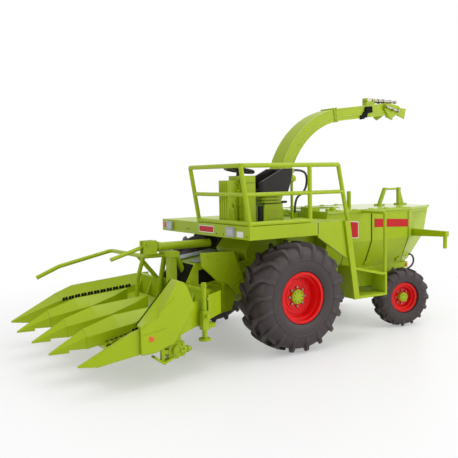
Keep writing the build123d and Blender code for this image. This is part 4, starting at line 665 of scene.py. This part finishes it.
# Discharge spout
# The chute is folded from sheet and welded: a weld bead along its side, bolted flanges, a black
# clamp for the pipe of the flap cylinder, and a steel link at the flaps.
SPOUT_Y = -1.0
SPOUT_HALF = 5.0
SPOUT_RUNS = ((-16.4, 68.0), (-34.3, 108.2), (-93.5, 115.2))
SPOUT_BEND_R = 43.6
FOOT_STEPS = 5
BEND_STEPS = 28
END_STEPS = 6


def spout_line():
    """Places along the chute's middle as (x, z, along x, along z)."""
    start, corner, end = (Vector(point) for point in SPOUT_RUNS)
    first, second = (corner - start).normalized(), (end - corner).normalized()
    half_turn = first.angle(second) / 2
    reach = SPOUT_BEND_R * math.tan(half_turn)
    bend_start, bend_end = corner - first * reach, corner + second * reach
    middle = corner + (second - first).normalized() * (SPOUT_BEND_R / math.cos(half_turn))
    line = [(start.lerp(bend_start, t / FOOT_STEPS), first) for t in range(FOOT_STEPS)]
    for t in range(BEND_STEPS + 1):
        share = t / BEND_STEPS
        spoke = (bend_start - middle).lerp(bend_end - middle, share).normalized() * SPOUT_BEND_R
        line.append((middle + spoke, first.lerp(second, share).normalized()))
    line += [(bend_end.lerp(end, t / END_STEPS), second) for t in range(1, END_STEPS + 1)]
    return [(point.x, point.y, along.x, along.y) for point, along in line]


def along_side(low, high, inside, outside, first):
    """A strip on the chute's side, from a place on its middle line on, between two heights from it."""
    run = spout_line()[first:]
    corners = [(x + dz * low, z - dx * low) for x, z, dx, dz in run]
    corners += [(x + dz * high, z - dx * high) for x, z, dx, dz in run][::-1]
    shapes = []
    for i in range(len(run) - 1):
        quad = [corners[i], corners[i + 1], corners[-i - 2], corners[-i - 1]]
        shapes.append(slab([(x, inside, z) for x, z in quad], (0, outside - inside, 0)))
    return shapes


# Weld and fold lines: raised strips in a paler green, a painted highlight along them
pale_highlight_enamel = coated("pale_highlight_enamel", "#c6d452", "#bccb46", 0.4, 0.1, specular=0.25)
welds = []
for side in (1, -1):
    wall = SPOUT_Y + side * SPOUT_HALF
    for low, high, first in ((-1.25, -0.95, 12), (2.95, 3.3, 5), (-3.3, -2.95, 5)):
        welds += along_side(low, high, wall - side * 0.05, wall + side * 0.22, first)
fitted("spout_welds", welds, pale_highlight_enamel, "spout")
# Matt black acetal, moulded: hardly any highlight
matt_black = coated("matt_black", "#0d0b0a", "#090807", 0.6, 0.0, specular=0.12)
clamp = [slab([(-76.4, 3.9, 112.2), (-81.6, 3.9, 112.9), (-81.4, 3.9, 116.2), (-76.8, 3.9, 115.7)],
              (0, 1.3, 0)),
         slab([(-74.2, 3.9, 109.6), (-77.8, 3.9, 110.0), (-78.6, 3.9, 113.2), (-75.4, 3.9, 113.0)],
              (0, 1.0, 0)),
         slab([(-73.0, 3.9, 108.8), (-75.6, 3.9, 109.2), (-76.2, 3.9, 111.2), (-73.4, 3.9, 111.0)],
              (0, 1.4, 0))]
clamp += [screw_head((x, 5.2, z), (0, 1, 0), 0.45, 0.4) for x, z in ((-77.6, 113.4), (-80.6, 115.0))]
fitted("spout_clamp", clamp, matt_black, "spout")
flange = [screw_head((-55.9, SPOUT_Y + side * 5.5, z), (0, side, 0), 0.4, 0.35)
          for side in (1, -1) for z in (108.2, 110.8, 113.4)]
fitted("flange_bolts", flange, green_enamel, "spout")
LINK_PIN = [(-0.9, 0), (-0.9, 0.75), (0.7, 0.75), (0.9, 0.5), (0.9, 0)]
steel_link = [slab([(-91.6, 5.5, 116.9), (-92.2, 5.5, 115.9), (-101.2, 5.5, 113.6), (-101.0, 5.5, 114.7)],
                   (0, 0.5, 0))]
steel_link += [turned(LINK_PIN, (x, 5.7, z), (0, 1, 0), 16)
               for x, z in ((-92.0, 116.3), (-96.8, 115.0), (-100.8, 114.2))]
fitted("flap_link", steel_link, bright_steel, "inner_flap_body")
# The flap cylinder's bracket on the chute's back, and the steel glands at its joins
bracket = [bar(-85.7, -79.4, -0.5, 2.5, 116.7, 119.2), bar(-84.9, -83.9, -0.5, 2.5, 119.0, 120.8),
           bar(-80.4, -79.4, -0.5, 2.5, 119.0, 120.8)]
bracket += [screw_head((x, 2.5, 119.7), (0, 1, 0), 0.55, 0.4) for x in (-84.4, -79.9)]
fitted("cylinder_bracket", bracket, green_enamel, "spout")
glands = [turned([(-0.6, 0), (-0.6, 1.35), (0.6, 1.35), (0.6, 0)], (x, 1.0, 119.65), (1, 0, 0), 20)
          for x in (-86.6, -90.0, -93.6)]
fitted("cylinder_glands", glands, bright_steel, "spout")
# Bolts round the turret's collar. A row turns about Y, so it is tipped to lie flat
TURRET_BOLTS = 12
collar = Matrix.Translation(at(-15.5, SPOUT_Y, 62.0)) @ Matrix.Rotation(math.radians(90), 4, "X")
repeated("turret_bolts", [screw_head((7.2, 0, 0), (0, -1, 0), 0.42, 0.4)], TURRET_BOLTS, IN_PLACE,
         360 / TURRET_BOLTS, green_enamel, "spout", collar)

# Gathering chains
# On each side of every row an endless steel chain draws the stalks in. Its links lie on the
# moulded strips along the slots, and the side walls have a row of openings above them.
ROWS = 4
ROW_PITCH = 23.4
CHAIN_X = 87.4
CHAIN_OUT = 4.1              # from the middle of the row
CHAIN_HIGH = 1.25            # above the deck
LINKS = 13
LINK_PITCH = 1.95
LINK_LONG = 1.3
LINK_HALF = 0.42
LINK_THICK = 0.35
LIP = (88.0, 14.0)           # x and z of the sloping deck's front edge
SLOPE = 0.203
SLOT_BACK = 58.6
# Chain steel: blackened, oiled, with a dull highlight
chain_steel = coated("chain_steel", "#23241c", "#1a1b15", 0.45, 0.0, metallic=0.4)
# The shadowed slots below the rows, which look black from above
slot_shade = coated("slot_shade", "#15180a", "#101307", 0.8, 0.0, specular=0.1)
# Openings along the outer walls, drawn as dark slabs of painted shade: where each run starts, its step and
# its number of pairs
WALL_RUNS = {"front": (Vector((80.7, 41.86, 20.2)), Vector((-3.05, -0.381, 0.49)), 3),
             "rear": (Vector((71.55, 40.52, 21.65)), Vector((-3.05, -0.765, 0.40)), 8)}
OPENING_HIGH = Vector((0, 0, 1.5))
OPENING_LONG = 0.36          # as shares of a step: its length, and where the second of a pair starts
SECOND_AT = 0.44


def on_slope(x0, x1, y0, y1, lift, thick):
    """A strip along the sloping deck of the rows, lifted off it."""
    z0, z1 = (LIP[1] + (LIP[0] - x) * SLOPE + lift for x in (x0, x1))
    return slab([(x0, y0, z0), (x1, y0, z1), (x1, y1, z1), (x0, y1, z0)], (0, 0, thick))


for row in range(ROWS):
    for side, letter in ((1, "a"), (-1, "b")):
        y = (row - (ROWS - 1) / 2) * ROW_PITCH + side * CHAIN_OUT
        link = on_slope(CHAIN_X, CHAIN_X - LINK_LONG, y - LINK_HALF, y + LINK_HALF, CHAIN_HIGH, LINK_THICK)
        repeated(f"row_{row + 1}_chain_{letter}", [link], LINKS, (-LINK_PITCH, 0, LINK_PITCH * SLOPE), 0,
                 chain_steel, "header")
for run, (start, along, count) in WALL_RUNS.items():
    for side, word in SIDES:
        pair = []
        for share in (0.0, SECOND_AT):
            low = start + along * share
            ahead = low + along * OPENING_LONG
            corners = [low, ahead, ahead + OPENING_HIGH, low + OPENING_HIGH]
            pair.append(slab([(c.x, side * c.y, c.z) for c in corners], (-0.04, side * -0.16, 0)))
        repeated(f"{word}_{run}_wall_openings", pair, count, (along.x, side * along.y, along.z), 0,
                 slot_shade, "header")
# Painted shade: a dark floor below each slot, and a dark line of painted shadow along both of its edges
for row in range(ROWS):
    y = (row - (ROWS - 1) / 2) * ROW_PITCH
    slot_floor = [on_slope(CHAIN_X, SLOT_BACK, y - 2.35, y + 2.35, -1.2, 0.5)]
    for edge in (y + 2.95, y - 2.95):
        slot_floor.append(on_slope(CHAIN_X + 0.2, SLOT_BACK, edge - 0.5, edge + 0.5, -0.02, 0.12))
    fitted(f"row_{row + 1}_slot_floor", slot_floor, slot_shade, "header")

# Header fittings
# Bolted and welded fittings on the header: a reflector on its left side cover, bolts on the guard,
# the intake's bare steel lid, the parking jack's clamp screw and the gearbox's bolts.
COVER_Y = 51.3               # the left side cover's outer face
GUARD_Y = 17.8
lens = turned([(-0.05, 0), (-0.05, 1.05), (0.1, 1.05), (0.35, 0.8), (0.4, 0)], (77.0, COVER_Y, 19.1),
              (0, 1, 0), 24)
fitted("left_shield_reflector", [lens], orange_lens, "header")
guard_bolts = [screw_head((x, GUARD_Y, z), (0, 1, 0), 0.45, 0.4)
               for x, z in ((32.8, 43.2), (21.0, 43.4), (27.5, 42.0), (17.0, 34.5), (23.0, 36.0))]
guard_bolts.append(screw_head((14.9, GUARD_Y, 27.0), (0, 1, 0), 0.7, 0.4, 12))
fitted("guard_bolts", guard_bolts, green_enamel, "header")
# Bare rolled steel, milled: grey, faintly blue, with a broad highlight
bare_steel = coated("bare_steel", "#a9b0b0", "#99a1a1", 0.35, 0.0, metallic=0.7)
lids = [slab([(14.0, y0, 43.0), (35.0, y0, 40.4), (35.0, y1, 40.4), (14.0, y1, 43.0)], (0, 0, 0.5))
        for y0, y1 in ((3.6, 12.2), (-12.2, -3.6))]
fitted("intake_lid", lids, bare_steel, "header")
# The openings at the intake's mouth and on its left side: black panels of painted shade
voids = [slab([(36.4, -11.4, 39.5), (40.75, -11.4, 31.7), (40.75, 11.4, 31.7), (36.4, 11.4, 39.5)],
              (0.25, 0, 0.15)),
         slab([(26.0, 12.48, 31.5), (34.5, 12.48, 30.5), (34.5, 12.48, 37.0), (26.0, 12.48, 38.0)],
              (0, 0.12, 0))]
fitted("intake_voids", voids, slot_shade, "header")
# Drive parts on the intake's left side: a belt drum's ring and bolts, a strut and a pipe
DRUM = (31.0, 24.0)          # x and z of its middle
DRUM_BOLTS = 6
DRUM_CIRCLE = 3.8
drive = [turned([(-0.2, 3.3), (0.4, 3.4), (0.4, 4.2), (-0.2, 4.3), (-0.2, 3.3)], (DRUM[0], 14.9, DRUM[1]),
                (0, 1, 0), 32),
         tube([(39.5, 13.0, 33.0), (39.5, 13.0, 22.0), (38.0, 13.4, 18.6)], 0.7),
         tube([(38.0, 12.9, 30.0), (34.0, 13.6, 29.2), (29.0, 13.6, 30.4), (24.5, 13.4, 29.0)], 0.45),
         bar(35.4, 38.4, 12.4, 14.6, 18.2, 21.6), bar(33.9, 35.2, 12.4, 14.2, 26.0, 28.4)]
for bolt in range(DRUM_BOLTS):
    spin = 2 * math.pi * bolt / DRUM_BOLTS
    bolt_x, bolt_z = DRUM[0] + DRUM_CIRCLE * math.cos(spin), DRUM[1] + DRUM_CIRCLE * math.sin(spin)
    drive.append(screw_head((bolt_x, 15.2, bolt_z), (0, 1, 0), 0.4, 0.35))
fitted("intake_drive_parts", drive, green_enamel, "header")
# The parking jack's clamp screw and bracket, and the bolts of the lower gearbox
jack = [turned([(-0.2, 0), (-0.2, 0.5), (1.4, 0.5), (1.4, 1.0), (2.2, 1.0), (2.4, 0.8), (2.4, 0)],
               (49.4, 44.6, 23.2), (0, 1, 0), 14),
        bar(46.6, 47.95, 42.4, 44.2, 24.0, 31.4), screw_head((47.9, 44.1, 30.0), (0, 1, 0), 0.7, 0.4, 12),
        bar(50.85, 51.2, 42.2, 44.2, 18.0, 24.6)]
fitted("jack_fittings", jack, green_enamel, "header")
gear = [screw_head((x, 46.9, z), (0, 1, 0), 0.5, 0.45) for x in (61.7, 66.7) for z in (10.2, 14.1)]
gear += [turned([(-0.3, 1.3), (0.35, 1.3), (0.35, 1.9), (-0.3, 1.9), (-0.3, 1.3)], (64.2, 47.6, 12.2),
                (0, 1, 0), 20),
         turned([(0, 0), (0, 1.5), (0.5, 1.5), (0.5, 0.9), (1.2, 0.9), (1.2, 1.4), (1.7, 1.4), (1.7, 0)],
                (59.7, 44.5, 11.2), (-1, 0, 0), 16),
         bar(60.5, 67.9, 42.3, 46.9, 11.8, 12.3)]
fitted("gearbox_fittings", gear, green_enamel, "header")
fitted("shaft_end", [screw_head((57.2, 44.5, 11.2), (-1, 0, 0), 0.75, 0.7)], bright_steel, "header")
# Weld seams where each pressed point meets its snout, and a fold along the left cover
seams = [slab([(93.5, y - 4.2, 17.4), (93.5, y, 20.15), (93.5, y + 4.2, 17.4), (93.5, y + 4.25, 17.6),
               (93.5, y, 20.4), (93.5, y - 4.25, 17.6)], (0.35, 0, 0)) for y in (-ROW_PITCH, 0, ROW_PITCH)]
fitted("point_seams", seams, green_enamel, "header")
folds = [slab([(80.8, COVER_Y, 23.6), (67.2, COVER_Y, 33.6), (67.0, COVER_Y, 33.2), (80.8, COVER_Y, 23.1)],
              (0, 0.12, 0)),
         slab([(80.9, COVER_Y, 20.9), (70.5, COVER_Y, 22.6), (70.5, COVER_Y, 22.3), (80.9, COVER_Y, 20.6)],
              (0, 0.1, 0))]
fitted("cover_folds", folds, green_enamel, "header")
# The gap between the left cover's folded edge and the divider in front of it
cover_edge = tube([(80.6, 45.0, 23.5), (70.2, 45.0, 34.5), (65.2, 45.0, 39.9)], 0.28, 6)
fitted("cover_gap", [cover_edge], door_gap, "header")
